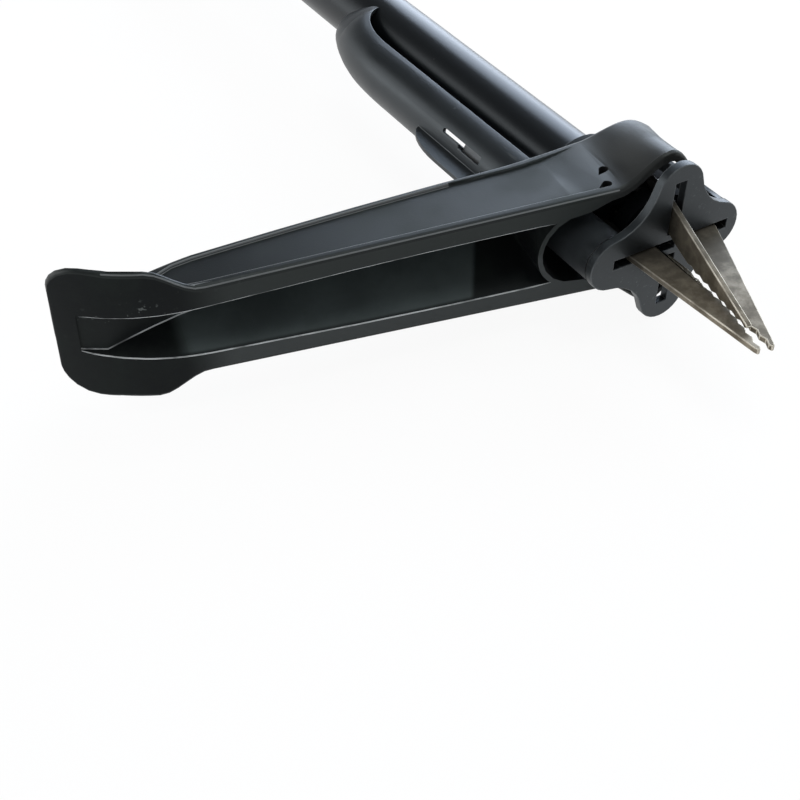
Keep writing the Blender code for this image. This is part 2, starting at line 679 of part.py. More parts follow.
def channel():
    """The hollow under the pedal, whose floor ramps out at the toe."""
    start = HEAD_GAP_MIDDLE + HEAD_GAP_ROUND * CHANNEL_START
    rings = []
    for run in spread(start, CHANNEL_TOE, 2 * STATIONS):
        half = blend(CHANNEL_HALF_HEAD, CHANNEL_HALF_TOE, ((run - start) / (CHANNEL_TOE - start)) ** 2)
        foot = yoke_underside(run) - CHANNEL_SKIN
        top = yoke_topside(run) - CHANNEL_SKIN
        floor = max(half - CHANNEL_DRAFT * (top - yoke_underside(run)), CHANNEL_FLOOR_HALF)
        mouth = half + (half - floor) * CHANNEL_SKIN / (top - yoke_underside(run))
        rings.append([yoke_point(run, foot, mouth), yoke_point(run, top, floor),
                      yoke_point(run, top, -floor), yoke_point(run, foot, -mouth)])
    space = loft("channel", rings)
    low = yoke_point(HEAD_GAP_MIDDLE, -ARM_DEPTH_HEAD * 2, 0.0)
    high = yoke_point(HEAD_GAP_MIDDLE, ARM_DEPTH_HEAD * 2, 0.0)
    cut(space, rod("cross_wall", low, high, HEAD_GAP_ROUND + CROSS_WALL, steps=ROUND_STEPS))
    return space


def side_panel(side):
    """The shallow panel in the outer face of an arm, which leaves a rim along both edges."""
    rings = []
    for run in spread(PANEL_START, PANEL_END, FAR_STATIONS):
        ground = yoke_underside(run)
        depth = yoke_topside(run) - ground
        fade = smooth_step(0.0, PANEL_FADE, PANEL_END - run)
        middle = (depth + FLANGE_SLOPE) / 2
        reach = max((middle - FLANGE_SLOPE - PANEL_RIM) * fade, FIT)
        deep = PANEL_DEPTH * (smooth_step(PANEL_START, PANEL_DEEP, run) - PANEL_RISE)
        ring = []
        for height in (middle - reach, middle + reach):
            floor = yoke_half(run, height / depth) - deep
            outer = floor + PANEL_DEPTH * 4
            pair = [yoke_point(run, ground + height, side * across) for across in (floor, outer)]
            ring += pair if height < middle else pair[::-1]
        rings.append(ring)
    return loft("panel", rings)


def drop_hole(run, height, tilt, side):
    """A teardrop hole through an arm, pointing along the pedal and down."""
    up = height - PIVOT_TO_GROUND
    outline = [(-run - DROP_LENGTH * cos(tilt), up - DROP_LENGTH * sin(tilt))]
    outline += arc_points((-run, up), DROP_RADIUS, tilt - DROP_SWEEP, tilt + DROP_SWEEP, ARC_STEPS)
    low = HEAD_GAP_HALF * (1.0 - OVERCUT)
    high = ARM_HALF_HEAD * 2
    return slab("drop_hole", outline, min(side * low, side * high), max(side * low, side * high))


def pedal_yoke(hinge):
    yoke = yoke_body(hinge)
    cut(yoke, head_gap())
    cut(yoke, channel())
    for side in (1.0, -1.0):
        cut(yoke, side_panel(side))
        for run, height, tilt in DROP_HOLES:
            cut(yoke, drop_hole(run, height, tilt, side))
        wall = PIVOT_HALF - YOKE_EDGE
        join(yoke, rod("pivot_boss", (0.0, 0.0, side * (TUBE_RADIUS + RUN * 2)), (0.0, 0.0, side * wall),
                       PIVOT_BOSS_RADIUS, steps=PIN_STEPS))
        cut(yoke, rod("pivot_hole", (0.0, 0.0, side * TUBE_RADIUS), (0.0, 0.0, side * (PIVOT_HALF + FIT)),
                      PIVOT_RADIUS + FIT))
    for index in range(TREAD_RIBS):
        run = YOKE_TOE - TOE_CORNER - index * TREAD_PITCH
        join(yoke, tread_rib(run))
    shade_round(yoke)


def tread_rib(run):
    """A low rib across the foot side of the toe."""
    near = run - TREAD_WIDTH / 2
    far = run + TREAD_WIDTH / 2
    low_near = yoke_topside(near) - TREAD_HEIGHT
    low_far = yoke_topside(far) - TREAD_HEIGHT
    rings = []
    for side in (-TREAD_HALF, TREAD_HALF):
        rings.append([yoke_point(near, low_near, side), yoke_point(far, low_far, side),
                      yoke_point(far, low_far + TREAD_HEIGHT * 2, side),
                      yoke_point(near, low_near + TREAD_HEIGHT * 2, side)])
    return loft("tread_rib", rings)


def cover_section(along, wall):
    """An arch across the cover: its crest, its edges and its half width, less a wall."""
    hood = min(max((along - HOOD_START) / (HOOD_TOP - HOOD_START), 0.0), 1.0)
    crest = blend(TUBE_REACH + TUBE_RADIUS, COVER_REACH + COVER_RADIUS, (1.0 - hood * hood) ** HOOD_POWER)
    lip = min(max((along - LIP_START) / (HOOD_TIP - LIP_START), 0.0), 1.0)
    edge = blend(HOOD_ROOT, COVER_REACH, sqrt(1.0 - lip * lip))
    taper = HOOD_TAPER * smooth_step(HOOD_TIP, HOOD_TOP + COVER_WALL, along)
    half = blend(COVER_RADIUS, LIP_HALF, lip) * (1.0 - taper)
    return crest - wall, edge, half - wall


def cover_ring(along, wall, below):
    crest, edge, half = cover_section(along, wall)
    ring = [spot(edge + (crest - edge) * cos(turn), along, half * sin(turn))
            for turn in spread(-pi / 2, pi / 2, ARCH_STEPS)]
    if below:
        ring += [spot(edge - below, along, half), spot(edge - below, along, -half)]
    return ring


def cover_alongs(low, top):
    """Stations up the cover, closer together where the lip turns in to the tube."""
    lip = [LIP_START + (HOOD_TIP - LIP_START) * sin(turn) for turn in spread(0.0, pi / 2, STATIONS)]
    start = spread(HOOD_START, LIP_START, NEAR_STATIONS)[:-1]
    return [low] + start + lip + spread(HOOD_TIP, top, NEAR_STATIONS)[1:]


def shaft_cover(root):
    low = COVER_FOOT - COVER_RADIUS
    rings = [cover_ring(along, 0.0, 0.0) for along in cover_alongs(low, HOOD_TOP)]
    cover = loft("shaft_cover", rings, PLASTIC, root)
    join(cover, cover_fin())
    inside = cover_alongs(low - COVER_WALL, HOOD_TOP - 2 * COVER_WALL)
    cut(cover, loft("hollow", [cover_ring(along, COVER_WALL, TUBE_RADIUS) for along in inside]))
    cut(cover, rod("seat", spot(TUBE_REACH, low - COVER_WALL, 0.0),
                   spot(TUBE_REACH, HOOD_TOP + TUBE_RADIUS, 0.0), TUBE_RADIUS + FIT, steps=ROUND_STEPS))
    near = cover_foot(TUBE_REACH)
    far = cover_foot(FIN_OUT)
    bottom = low - COVER_RADIUS
    foot = [(-TUBE_REACH, near), (-FIN_OUT, far), (-FIN_OUT, bottom), (-TUBE_REACH, bottom)]
    cut(cover, slab("foot", foot, -COVER_RADIUS * 2, COVER_RADIUS * 2))
    notch = SLIDER_TOE_HALF + RUN
    cut(cover, box("notch", spot(COVER_REACH, COVER_FOOT - COVER_RADIUS, -notch),
                   spot(FIN_OUT, SLIDER_TOE_TOP + SLIDER_TRAVEL + RUN, notch)))
    for side in (1.0, -1.0):
        cut(cover, cover_window(side))
    shade_round(cover)


def cover_foot(reach):
    """The cover's foot slopes to stay clear of the raised pedal."""
    return COVER_FOOT + COVER_FOOT_SLOPE * (reach - COVER_REACH)


def cover_fin():
    """A thin fin along the crest, with a round upper shoulder."""
    root = COVER_REACH + COVER_RADIUS - COVER_WALL / 2
    outline = [(-root, FIN_FOOT), (-FIN_OUT, FIN_FOOT), (-FIN_OUT, FIN_SHOULDER)]
    for turn in spread(0.0, pi / 2, ARC_STEPS)[1:]:
        outline.append((-blend(root, FIN_OUT, cos(turn)), blend(FIN_SHOULDER, FIN_TOP, sin(turn))))
    return slab("fin", outline, -FIN_THICKNESS / 2, FIN_THICKNESS / 2)


def cover_window(side):
    """A stepped slot with a round upper end in the flank of the cover."""
    edge = WINDOW_WIDE / 2
    half = WINDOW_NARROW / 2
    outline = [(edge, WINDOW_FOOT)]
    outline += arc_points((edge - half, WINDOW_TOP - half), half, 0.0, pi, ARC_STEPS)
    outline += [(edge - WINDOW_NARROW, WINDOW_STEP), (-edge, WINDOW_STEP - half), (-edge, WINDOW_FOOT)]
    outline = [(side * across, along) for across, along in outline]
    window = slab("window", outline, COVER_RADIUS - 2 * COVER_WALL, COVER_RADIUS + COVER_WALL)
    turn = Matrix.Rotation(-pi / 2 + side * WINDOW_TURN, 4, "Y")
    window.data.transform(Matrix.Translation(spot(COVER_REACH, 0.0, 0.0)) @ turn)
    return window


def slider_rail(root):
    """A rail that hugs the tube under the cover, with a block at its head that holds the spring."""
    foot = spot(RAIL_IN, RAIL_FOOT, -RAIL_HALF)
    top = spot(RAIL_OUT, SEAT_TOP, RAIL_HALF)
    rail = box("slider_rail", foot, top, PLASTIC, root)
    half = RAIL_HALF - FIT
    join(rail, box("seat", spot(RAIL_IN - FIT, SEAT_FOOT, -half), spot(SEAT_OUT, SEAT_TOP + FIT, half)))
    cut(rail, rod("tube", spot(TUBE_REACH, RAIL_FOOT - TUBE_RADIUS, 0.0),
                  spot(TUBE_REACH, SEAT_TOP + TUBE_RADIUS, 0.0), TUBE_RADIUS + FIT, steps=ROUND_STEPS))
    shade_round(rail)


def slider(carriage):
    """The slider at rest: a bar under the crest, a block behind the windows, a head and a toe."""
    head_foot = SLIDER_HEAD_TOP - SLIDER_HEAD_THICKNESS
    bar_top = SLIDER_HEAD_TOP - FIT
    bar = slider_block("return_slider", SLIDER_BAR_FOOT, bar_top, SLIDER_BAR_IN, SLIDER_BAR_HALF, RUN + FIT,
                       SOFT_PLASTIC, carriage)
    join(bar, slider_block("block", SLIDER_BLOCK_FOOT, SLIDER_BLOCK_TOP, SLIDER_BLOCK_IN,
                           SLIDER_BLOCK_HALF, RUN))
    join(bar, slider_block("head", head_foot, SLIDER_HEAD_TOP, SLIDER_HEAD_IN, SLIDER_HEAD_HALF, RUN))
    half = SLIDER_TOE_HALF
    toe = box("toe", spot(SLIDER_TOE_IN, SLIDER_FOOT, -half),
              spot(SLIDER_TOE_OUT, SLIDER_TOE_TOP - FIT, half))
    join(toe, box("shelf", spot(SLIDER_BAR_IN + FIT, SLIDER_STEP, -half - FIT),
                  spot(SLIDER_TOE_IN + half, SLIDER_TOE_TOP, half + FIT)))
    join(bar, toe)
    shade_round(bar)


def slider_block(name, foot, top, inner, half, gap, spec=None, parent=None):
    """A block with a round back that runs under the cover."""
    radius = COVER_RADIUS - COVER_WALL - gap
    sweep = asin(half / radius)
    outline = [(-inner, half), (-inner, -half)]
    for turn in spread(-sweep, sweep, ARC_STEPS):
        outline.append((-COVER_REACH - radius * cos(turn), radius * sin(turn)))
    return loft(name, [[(x, along, z) for x, z in outline] for along in (foot, top)], spec, parent)


def return_spring(root):
    """A compression spring between the slider's head and the seat above it."""
    foot = SLIDER_HEAD_TOP + SPRING_WIRE + FIT
    top = SEAT_FOOT - SPRING_WIRE - FIT
    curve = bpy.data.curves.new("return_spring", "CURVE")
    curve.dimensions = "3D"
    curve.bevel_depth = SPRING_WIRE
    curve.bevel_resolution = 1
    curve.use_fill_caps = True
    count = SPRING_TURNS * SPRING_POINTS + 1
    spline = curve.splines.new("POLY")
    spline.points.add(count - 1)
    for index, point in enumerate(spline.points):
        turn = 2.0 * pi * index / SPRING_POINTS
        place = spot(SPRING_REACH + SPRING_RADIUS * cos(turn), blend(foot, top, index / (count - 1)),
                     SPRING_RADIUS * sin(turn))
        point.co = (*place, 1.0)
    curve.materials.append(new_material(ZINC))
    spring = bpy.data.objects.new("return_spring", curve)
    spring.parent = root
    bpy.context.scene.collection.objects.link(spring)
    gap = (top - foot) / SPRING_TURNS - 2 * SPRING_WIRE
    print("spring gap between turns, mm:", round(gap * 1000, 2))


def handle_ring(turn, section):
    """A round section of the loop at a turn about the loop's middle, measured from its top."""
    middle = spot(TUBE_REACH, HANDLE_MIDDLE, 0.0)
    out = Vector((HANDLE_HALF_WIDE * sin(turn), HANDLE_HALF_LONG * cos(turn), 0.0))
    along = Vector((HANDLE_HALF_WIDE * cos(turn), -HANDLE_HALF_LONG * sin(turn), 0.0)).normalized()
    across = Vector((along.y, -along.x, 0.0))
    ring = []
    for step in range(PIN_STEPS):
        angle = 2.0 * pi * (step + 0.5) / PIN_STEPS
        rise = Vector((0.0, 0.0, section * sin(angle)))
        ring.append(middle + out + across * (section * cos(angle)) + rise)
    return ring


def socket_outline():
    wide = SOCKET_HALF_WIDE - SOCKET_ROUND
    deep = SOCKET_HALF_DEEP - SOCKET_ROUND
    points = []
    for index, (x, z) in enumerate(((wide, deep), (-wide, deep), (-wide, -deep), (wide, -deep))):
        points += arc_points((x, z), SOCKET_ROUND, index * pi / 2, (index + 1) * pi / 2, NEAR_STATIONS)
    return points


def handle_solid(name, root):
    turns = spread(0.0, 2.0 * pi, LOOP_STATIONS)[:-1]
    solid = loft(name, [handle_ring(turn, HANDLE_SECTION) for turn in turns], PLASTIC, root, closed=True)
    rings = []
    for along in (SOCKET_FOOT, SOCKET_TOP):
        rings.append([spot(TUBE_REACH - x, along, z) for x, z in socket_outline()])
    join(solid, loft("socket", rings))
    cut(solid, rod("bore", spot(TUBE_REACH, SOCKET_FOOT - TUBE_RADIUS, 0.0),
                   spot(TUBE_REACH, TUBE_TOP + FIT, 0.0), TUBE_RADIUS + FIT, steps=ROUND_STEPS))
    return solid


def handle_screw_places():
    return [spot(TUBE_REACH + side * HANDLE_SCREW_OFFSET, along, 0.0)
            for along in HANDLE_SCREWS_ALONG for side in (1.0, -1.0)]


def handle(root):
    half_gap = FIT / 2
    far = HANDLE_MIDDLE + HANDLE_HALF_LONG * 2
    wide = HANDLE_HALF_WIDE * 3
    deep = SOCKET_HALF_DEEP * 2
    screw_foot = -SOCKET_HALF_DEEP / 2
    screw_head = SOCKET_HALF_DEEP - SCREW_HEAD_HEIGHT
    up = Vector((0.0, 0.0, 1.0))
    for name, side in (("handle_half_upper", 1.0), ("handle_half_lower", -1.0)):
        half = handle_solid(name, root)
        other = sorted((-side * deep, side * half_gap))
        cut(half, box("other_side", spot(-wide, SOCKET_FOOT - deep, other[0]), spot(wide, far, other[1])))
        for place in handle_screw_places():
            cut(half, rod("hole", place + up * (screw_foot - FIT), place + up * (screw_head + FIT),
                          SCREW_RADIUS + FIT))
            if side > 0.0:
                cut(half, rod("sink", place + up * (screw_head - FIT), place + up * deep,
                              SCREW_HEAD_RADIUS + FIT))
        shade_round(half)
    for index, place in enumerate(handle_screw_places()):
        screw = rod("handle_screw_%d" % (index + 1), place + up * screw_foot, place + up * (screw_head + FIT),
                    SCREW_RADIUS, ZINC, root)
        join(screw, rod("head", place + up * screw_head, place + up * (SOCKET_HALF_DEEP - FIT),
                        SCREW_HEAD_RADIUS))
        shade_round(screw)


def grip(root):
    outer = HANDLE_SECTION + GRIP_WALL
    inner = HANDLE_SECTION + FIT
    longer = GRIP_SWEEP * (1.0 + OVERCUT)
    turns = spread(-GRIP_SWEEP, GRIP_SWEEP, 2 * STATIONS)
    sleeve = loft("handle_grip", [handle_ring(turn, outer) for turn in turns], RUBBER, root)
    inside = spread(-longer, longer, FAR_STATIONS)
    cut(sleeve, loft("inside", [handle_ring(turn, inner) for turn in inside]))
    shade_round(sleeve)


def rest_on_origin(root):
    """Put the middle of the model's footprint at the origin, on its lowest point."""
    bpy.context.view_layer.update()
    graph = bpy.context.evaluated_depsgraph_get()
    corners = []
    for item in bpy.data.objects:
        if item.type in {"MESH", "CURVE"}:
            mesh = item.evaluated_get(graph).to_mesh()
            corners += [item.matrix_world @ vertex.co for vertex in mesh.vertices]
            item.evaluated_get(graph).to_mesh_clear()
    low = Vector([min(corner[axis] for corner in corners) for axis in range(3)])
    high = Vector([max(corner[axis] for corner in corners) for axis in range(3)])
    root.location = (-(low.x + high.x) / 2, -(low.y + high.y) / 2, -low.z)
    bpy.context.view_layer.update()
    print("size, mm:", [round(value * 1000, 1) for value in high - low])
    print("plate centre, mm:", [round(value * 1000, 2) for value in root.location])


def build():
    clear_scene()
    root = new_empty("tool", None)
    cluster = new_empty("claw_frame", root, turn=-CANT)
    hinge = new_empty("pedal_hinge", root, spot(TUBE_REACH, PIVOT_ALONG, 0.0), turn=-CANT)
    carriage = new_empty("slider_carriage", root)
    bpy.context.view_layer.update()
    shaft_tube(root)
    claw_plate(root)
    head_core(root, cluster)
    claws(cluster)
    pivot_pin(root)
    head_collar(root)
    pedal_yoke(hinge)
    shaft_cover(root)
    slider_rail(root)
    slider(carriage)
    return_spring(root)
    handle(root)
    grip(root)
    rest_on_origin(root)


build()
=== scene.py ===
# %% [markdown]
# # A stand-up weed puller, dressed for its portrait
#
# The tool lies on its side on a white floor. A foot pedal wraps round a head with four steel claws,
# and a half-round cover runs up the black tube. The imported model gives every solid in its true
# place, so this lesson adds what a solid alone can't show: smooth rounded skins, moulded grain,
# dust, scuffs and worn steel.

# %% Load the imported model
import json
from math import atan2, cos, pi, radians, sin

import bmesh
import bpy
from mathutils import Matrix, Vector
from mathutils.bvhtree import BVHTree

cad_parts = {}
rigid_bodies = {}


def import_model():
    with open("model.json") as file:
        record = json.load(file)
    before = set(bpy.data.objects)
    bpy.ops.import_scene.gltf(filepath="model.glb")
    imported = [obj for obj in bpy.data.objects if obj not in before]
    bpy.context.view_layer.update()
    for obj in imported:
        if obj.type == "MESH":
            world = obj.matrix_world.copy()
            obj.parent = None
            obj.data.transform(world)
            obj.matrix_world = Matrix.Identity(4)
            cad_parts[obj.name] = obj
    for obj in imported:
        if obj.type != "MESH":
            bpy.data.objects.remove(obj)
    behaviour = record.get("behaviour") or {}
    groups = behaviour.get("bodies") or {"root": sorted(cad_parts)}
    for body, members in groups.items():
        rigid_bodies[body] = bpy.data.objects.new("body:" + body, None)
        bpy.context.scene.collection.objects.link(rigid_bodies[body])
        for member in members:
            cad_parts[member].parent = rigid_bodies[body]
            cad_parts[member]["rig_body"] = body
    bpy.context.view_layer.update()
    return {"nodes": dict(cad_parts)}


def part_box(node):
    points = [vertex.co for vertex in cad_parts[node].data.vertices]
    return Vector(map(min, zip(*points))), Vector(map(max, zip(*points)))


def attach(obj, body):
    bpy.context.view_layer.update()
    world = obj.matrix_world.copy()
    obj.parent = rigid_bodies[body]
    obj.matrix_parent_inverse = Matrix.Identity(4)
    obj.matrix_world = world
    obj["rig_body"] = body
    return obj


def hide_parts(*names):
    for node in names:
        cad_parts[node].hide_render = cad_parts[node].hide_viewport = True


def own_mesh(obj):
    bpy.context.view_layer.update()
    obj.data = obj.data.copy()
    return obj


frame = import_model()
nodes = frame["nodes"]


def mm(length):
    """A length in millimetres, rounded for printing."""
    return round(length * 1000, 2)


# %% [markdown]
# The middle of the claw plate's front face is the datum of the whole tool. It could be typed in as
# three numbers, but the plate's own box gives it, and then it follows the model: its front is the
# lowest Y, its middle height is the shaft's height, and the pedal lobe reaches furthest to -X.

# %% Find the tool's datum
PEDAL_LOBE_REACH = 0.031
plate_low, plate_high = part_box("claw_plate")
datum = Vector((plate_low.x + PEDAL_LOBE_REACH, plate_low.y, (plate_low.z + plate_high.z) / 2))
print("datum, mm:", [mm(value) for value in datum])

# %% [markdown]
# ## Smooth skins with real edges
#
# A imported solid is a shell of loose flat triangles, so a round tube would shine in strips and every
# edge would be a knife edge. Each solid is copied, its triangles are welded, and triangles that lie
# in one plane are joined. Then every crease gets a small round, which is what catches the light
# along a moulded or stamped edge. A bevel modifier could make that round too, but made here, its
# narrow faces can be marked in an attribute, so that a material can turn them pale: worn bright,
# and on the pedal with a painted highlight.

# %% Carry a finished skin
CREASE = radians(34)


def body_of(node):
    """The moving body that a solid belongs to."""
    return nodes[node]["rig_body"]


def show(builder, name, body, stands_for=(), crease=CREASE):
    """Turn a finished bmesh into a piece of the tool that rides on a body."""
    mesh = bpy.data.meshes.new(name)
    builder.to_mesh(mesh)
    builder.free()
    mesh.shade_smooth()
    mesh.set_sharp_from_angle(angle=crease)
    piece = bpy.data.objects.new(name, mesh)
    bpy.context.scene.collection.objects.link(piece)
    weighted = piece.modifiers.new("flat_faces", "WEIGHTED_NORMAL")
    weighted.mode = "FACE_AREA_WITH_ANGLE"
    weighted.keep_sharp = True
    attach(piece, body)
    if stands_for:
        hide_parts(*stands_for)
    return piece


print("bodies:", sorted({body_of(node) for node in nodes}))

# %% [markdown]
# The pedal's long edges are rounded, and its two outer rims get a larger round. Short edges at the
# head and the tip are left out, because a round there would fold over itself.

# %% Round the edges
ROUND_STEPS = 2
RUNS_ALONG = 0.45
HEAD_REACH = 0.042
HOLLOW_REACH = 0.0338
HOLLOW_RIM = 0.0105
TOE_REACH = 0.166
LONG_EDGE = 0.05
RIM_ROUND = 0.0005
RIM_STEPS = 3
RIM_OUT = 0.0135
RIM_TURN = radians(70)


def runs_along(edge):
    """True for pedal edges that run along it: long ones, and others clear of its head and tip."""
    first, last = (corner.co for corner in edge.verts)
    length = edge.calc_length()
    inner = abs(first.z - datum.z) < RIM_OUT
    clear_of_tip = inner or min(first.x, last.x) > datum.x - TOE_REACH
    beside_hollow = inner and min(abs(first.z - datum.z), abs(last.z - datum.z)) > HOLLOW_RIM
    head_reach = HOLLOW_REACH if beside_hollow else HEAD_REACH
    clear = clear_of_tip and max(first.x, last.x) < datum.x - head_reach
    return (clear or length > LONG_EDGE) and abs(last.x - first.x) > RUNS_ALONG * length


def is_rim(edge):
    """True for the outer rims along the pedal's two sides."""
    middle = (edge.verts[0].co + edge.verts[1].co) / 2
    return runs_along(edge) and edge.is_convex and abs(middle.z - datum.z) > RIM_OUT


def round_creases(builder, radius, angle, chosen=None, steps=ROUND_STEPS):
    """Round the edges that turn by more than the angle, and mark the new faces."""
    solid = BVHTree.FromBMesh(builder)
    layers = builder.faces.layers.float
    mark = layers.get("rounded_edge") or layers.new("rounded_edge")
    creases = [edge for edge in builder.edges
               if edge.is_manifold and edge.calc_face_angle() > angle]
    if chosen:
        creases = [edge for edge in creases if chosen(edge)]
    made = bmesh.ops.bevel(
        builder, geom=creases, offset=radius, offset_type="OFFSET", affect="EDGES",
        segments=steps, profile=0.5, material=-1, clamp_overlap=False)
    for face in made["faces"]:
        face[mark] = 1.0
    # A corner that a round threw off the solid goes back to it.
    for corner in builder.verts:
        place, _, _, distance = solid.find_nearest(corner.co)
        if distance > radius:
            corner.co = place


print("rim round, mm:", mm(RIM_ROUND))

# %% [markdown]
# The screws are plain rods with heads. Each head gets a six-sided socket for a key. A boolean could
# cut it, but an inset of the head's own top face, pushed in, needs no second object and leaves a
# clean mesh.

# %% Sockets in the screws
SCREW_WAYS = {"collar": Vector((0.0, 1.0, 0.0)), "handle": Vector((0.0, 0.0, 1.0))}
FACES_OUT = 0.99
SOCKET_RIM = 0.0012
SOCKET_HALF = 0.0015
SOCKET_DEPTH = 0.0016
SIXTH_TURN = pi / 3


def sink_socket(builder, way):
    """Sink a six-sided socket for a key into the head of a screw that faces the given way."""
    tops = [face for face in builder.faces if face.normal.dot(way) > FACES_OUT]
    top = max(tops, key=lambda face: face.calc_center_median().dot(way))
    middle = top.calc_center_median()
    bmesh.ops.inset_region(builder, faces=[top], thickness=SOCKET_RIM, use_even_offset=True)
    across = way.orthogonal().normalized()
    other = way.cross(across)
    for corner in top.verts:
        away = corner.co - middle
        turn = atan2(away.dot(other), away.dot(across)) % SIXTH_TURN - SIXTH_TURN / 2
        corner.co = middle + away.normalized() * SOCKET_HALF / cos(turn)
    floor_face = bmesh.ops.extrude_discrete_faces(builder, faces=[top])["faces"][0]
    bmesh.ops.translate(builder, verts=floor_face.verts, vec=-way * SOCKET_DEPTH)


print("socket across, mm:", mm(SOCKET_HALF * 2))

# %% [markdown]
# Now every solid gets its skin. The core and the spring keep their edges as they are.

# %% A skin over each solid
WELD = 2e-6
FLAT = radians(0.6)
EDGE_ROUND = 0.0003
EDGE_ROUNDS = {"head_core": 0.0, "return_spring": 0.0, "shaft_cover": 0.0002, "pedal_yoke": 0.00025}
EDGE_CREASES = {"pedal_yoke": radians(41)}


def skin(node):
    """A welded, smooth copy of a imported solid, with rounded creases."""
    builder = bmesh.new()
    builder.from_mesh(nodes[node].data)
    bmesh.ops.remove_doubles(builder, verts=builder.verts, dist=WELD)
    bmesh.ops.dissolve_limit(builder, angle_limit=FLAT, verts=builder.verts, edges=builder.edges)
    radius = EDGE_ROUNDS.get(node, EDGE_ROUND)
    crease = EDGE_CREASES.get(node, CREASE)
    if "_screw_" in node:
        sink_socket(builder, SCREW_WAYS[node.split("_")[0]])
    if node == "pedal_yoke":
        round_creases(builder, RIM_ROUND, RIM_TURN, is_rim, RIM_STEPS)
        round_creases(builder, radius, crease, runs_along)
    elif radius:
        round_creases(builder, radius, crease)
    return show(builder, node + "_skin", body_of(node), (node,), crease)


skins = {node: skin(node) for node in sorted(nodes)}
print("skins:", len(skins), "faces:", sum(len(piece.data.polygons) for piece in skins.values()))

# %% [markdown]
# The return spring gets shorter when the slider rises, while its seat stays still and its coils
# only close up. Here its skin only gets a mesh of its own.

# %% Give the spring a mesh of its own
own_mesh(skins["return_spring"])

# %% [markdown]
# ## Shared effects as node groups
#
# Moulded plastic, paint and steel all show the same few things at different strengths: a fine
# grain, edges that catch the light, and dust with small scuffs. Each is one node group with named
# sockets, so a material only chooses the amounts.

# %% Helpers for nodes
MIX_FACTOR, MIX_LOW, MIX_HIGH = 0, 6, 7
MIX_RESULT = 2


def feed(tree, socket, value):
    """Link a socket to another one, or set it to a plain value."""
    if isinstance(value, bpy.types.NodeSocket):
        tree.links.new(value, socket)
    else:
        socket.default_value = value


def add(tree, kind, inputs=None, **settings):
    """A node with its settings, and its inputs either linked or set to a value."""
    made = tree.nodes.new(kind)
    for name, value in settings.items():
        setattr(made, name, value)
    for name, value in (inputs or {}).items():
        feed(tree, made.inputs[name], value)
    return made


def mix_colours(tree, amount, low, high):
    """A colour between two others."""
    made = add(tree, "ShaderNodeMix", data_type="RGBA")
    for index, value in ((MIX_FACTOR, amount), (MIX_LOW, low), (MIX_HIGH, high)):
        feed(tree, made.inputs[index], value)
    return made.outputs[MIX_RESULT]


def math(tree, operation, *values):
    """The result of one sum on values or sockets."""
    made = add(tree, "ShaderNodeMath", operation=operation)
    for index, value in enumerate(values):
        feed(tree, made.inputs[index], value)
    return made.outputs[0]


def ramp(tree, value, low, high, low_out=0.0, high_out=1.0):
    """A smooth step from one value to another."""
    limits = {"Value": value, "From Min": low, "From Max": high,
              "To Min": low_out, "To Max": high_out}
    return add(tree, "ShaderNodeMapRange", limits, interpolation_type="SMOOTHSTEP").outputs[0]


def between(tree, share, low, high):
    """A value between two others, by a share from 0 to 1."""
    return ramp(tree, share, 0.0, 1.0, low, high)


def multiply(tree, first, second):
    """The product of two values or sockets."""
    return math(tree, "MULTIPLY", first, second)


def noise(tree, vector, scale, detail=3.0, roughness=0.55):
    """Cloudy noise; a larger scale makes finer clouds."""
    made = add(tree, "ShaderNodeTexNoise", {"Vector": vector, "Scale": scale, "Detail": detail,
                                            "Roughness": roughness})
    return made.outputs["Fac"]


def new_group(name, inputs, outputs):
    """An empty node group, with its start and end nodes."""
    group = bpy.data.node_groups.new(name, "ShaderNodeTree")
    for label, kind, value in inputs:
        socket = group.interface.new_socket(label, in_out="INPUT", socket_type=kind)
        if value is not None:
            socket.default_value = value
    for label, kind in outputs:
        group.interface.new_socket(label, in_out="OUTPUT", socket_type=kind)
    return group, group.nodes.new("NodeGroupInput"), group.nodes.new("NodeGroupOutput")


def use_group(tree, group, **inputs):
    """A node that runs a group inside another tree."""
    made = tree.nodes.new("ShaderNodeGroup")
    made.node_tree = group
    for name, value in inputs.items():
        feed(tree, made.inputs[name.capitalize()], value)
    return made


def new_material(name):
    """A node material, its tree, its shader, and the place of each point on the object."""
    material = bpy.data.materials.new(name)
    material.use_nodes = True
    tree = material.node_tree
    place = add(tree, "ShaderNodeTexCoord").outputs["Object"]
    return material, tree, tree.nodes["Principled BSDF"], place


def bumps(tree, shader, height, strength, depth):
    """Raise the shader's surface by a height, to the given depth in metres."""
    made = add(tree, "ShaderNodeBump", {"Strength": strength, "Distance": depth, "Height": height})
    tree.links.new(made.outputs[0], shader.inputs["Normal"])


print("node helpers are ready")

# %% [markdown]
# **Mould grain.** Tool makers etch a fine grain into a mould so that black plastic looks satin and
# hides sink marks. A picture of grain would need the mesh unwrapped and would show seams, so two
# sizes of noise give it instead: a tight grain, and a slow waviness of the wall behind it.

# %% Mould grain group
GRAIN_SIZE = 2600.0
WAVINESS = 0.3
WAVE_SIZE = 55.0
CLOUD_SIZE = 24.0
CLOUD_STEP = (0.3, 0.7)
grain_group, start, end = new_group(
    "mould_grain",
    [("Vector", "NodeSocketVector", None), ("Grain size", "NodeSocketFloat", GRAIN_SIZE),
     ("Waviness", "NodeSocketFloat", WAVINESS)],
    [("Height", "NodeSocketFloat"), ("Cloud", "NodeSocketFloat")])
point = start.outputs["Vector"]
fine = noise(grain_group, point, start.outputs["Grain size"], detail=2.0)
slow = noise(grain_group, point, WAVE_SIZE, detail=2.0)
waves = multiply(grain_group, slow, start.outputs["Waviness"])
cloud = ramp(grain_group, noise(grain_group, point, CLOUD_SIZE, detail=5.0), *CLOUD_STEP)
grain_group.links.new(math(grain_group, "ADD", fine, waves), end.inputs["Height"])
grain_group.links.new(cloud, end.inputs["Cloud"])
print("group:", grain_group.name)
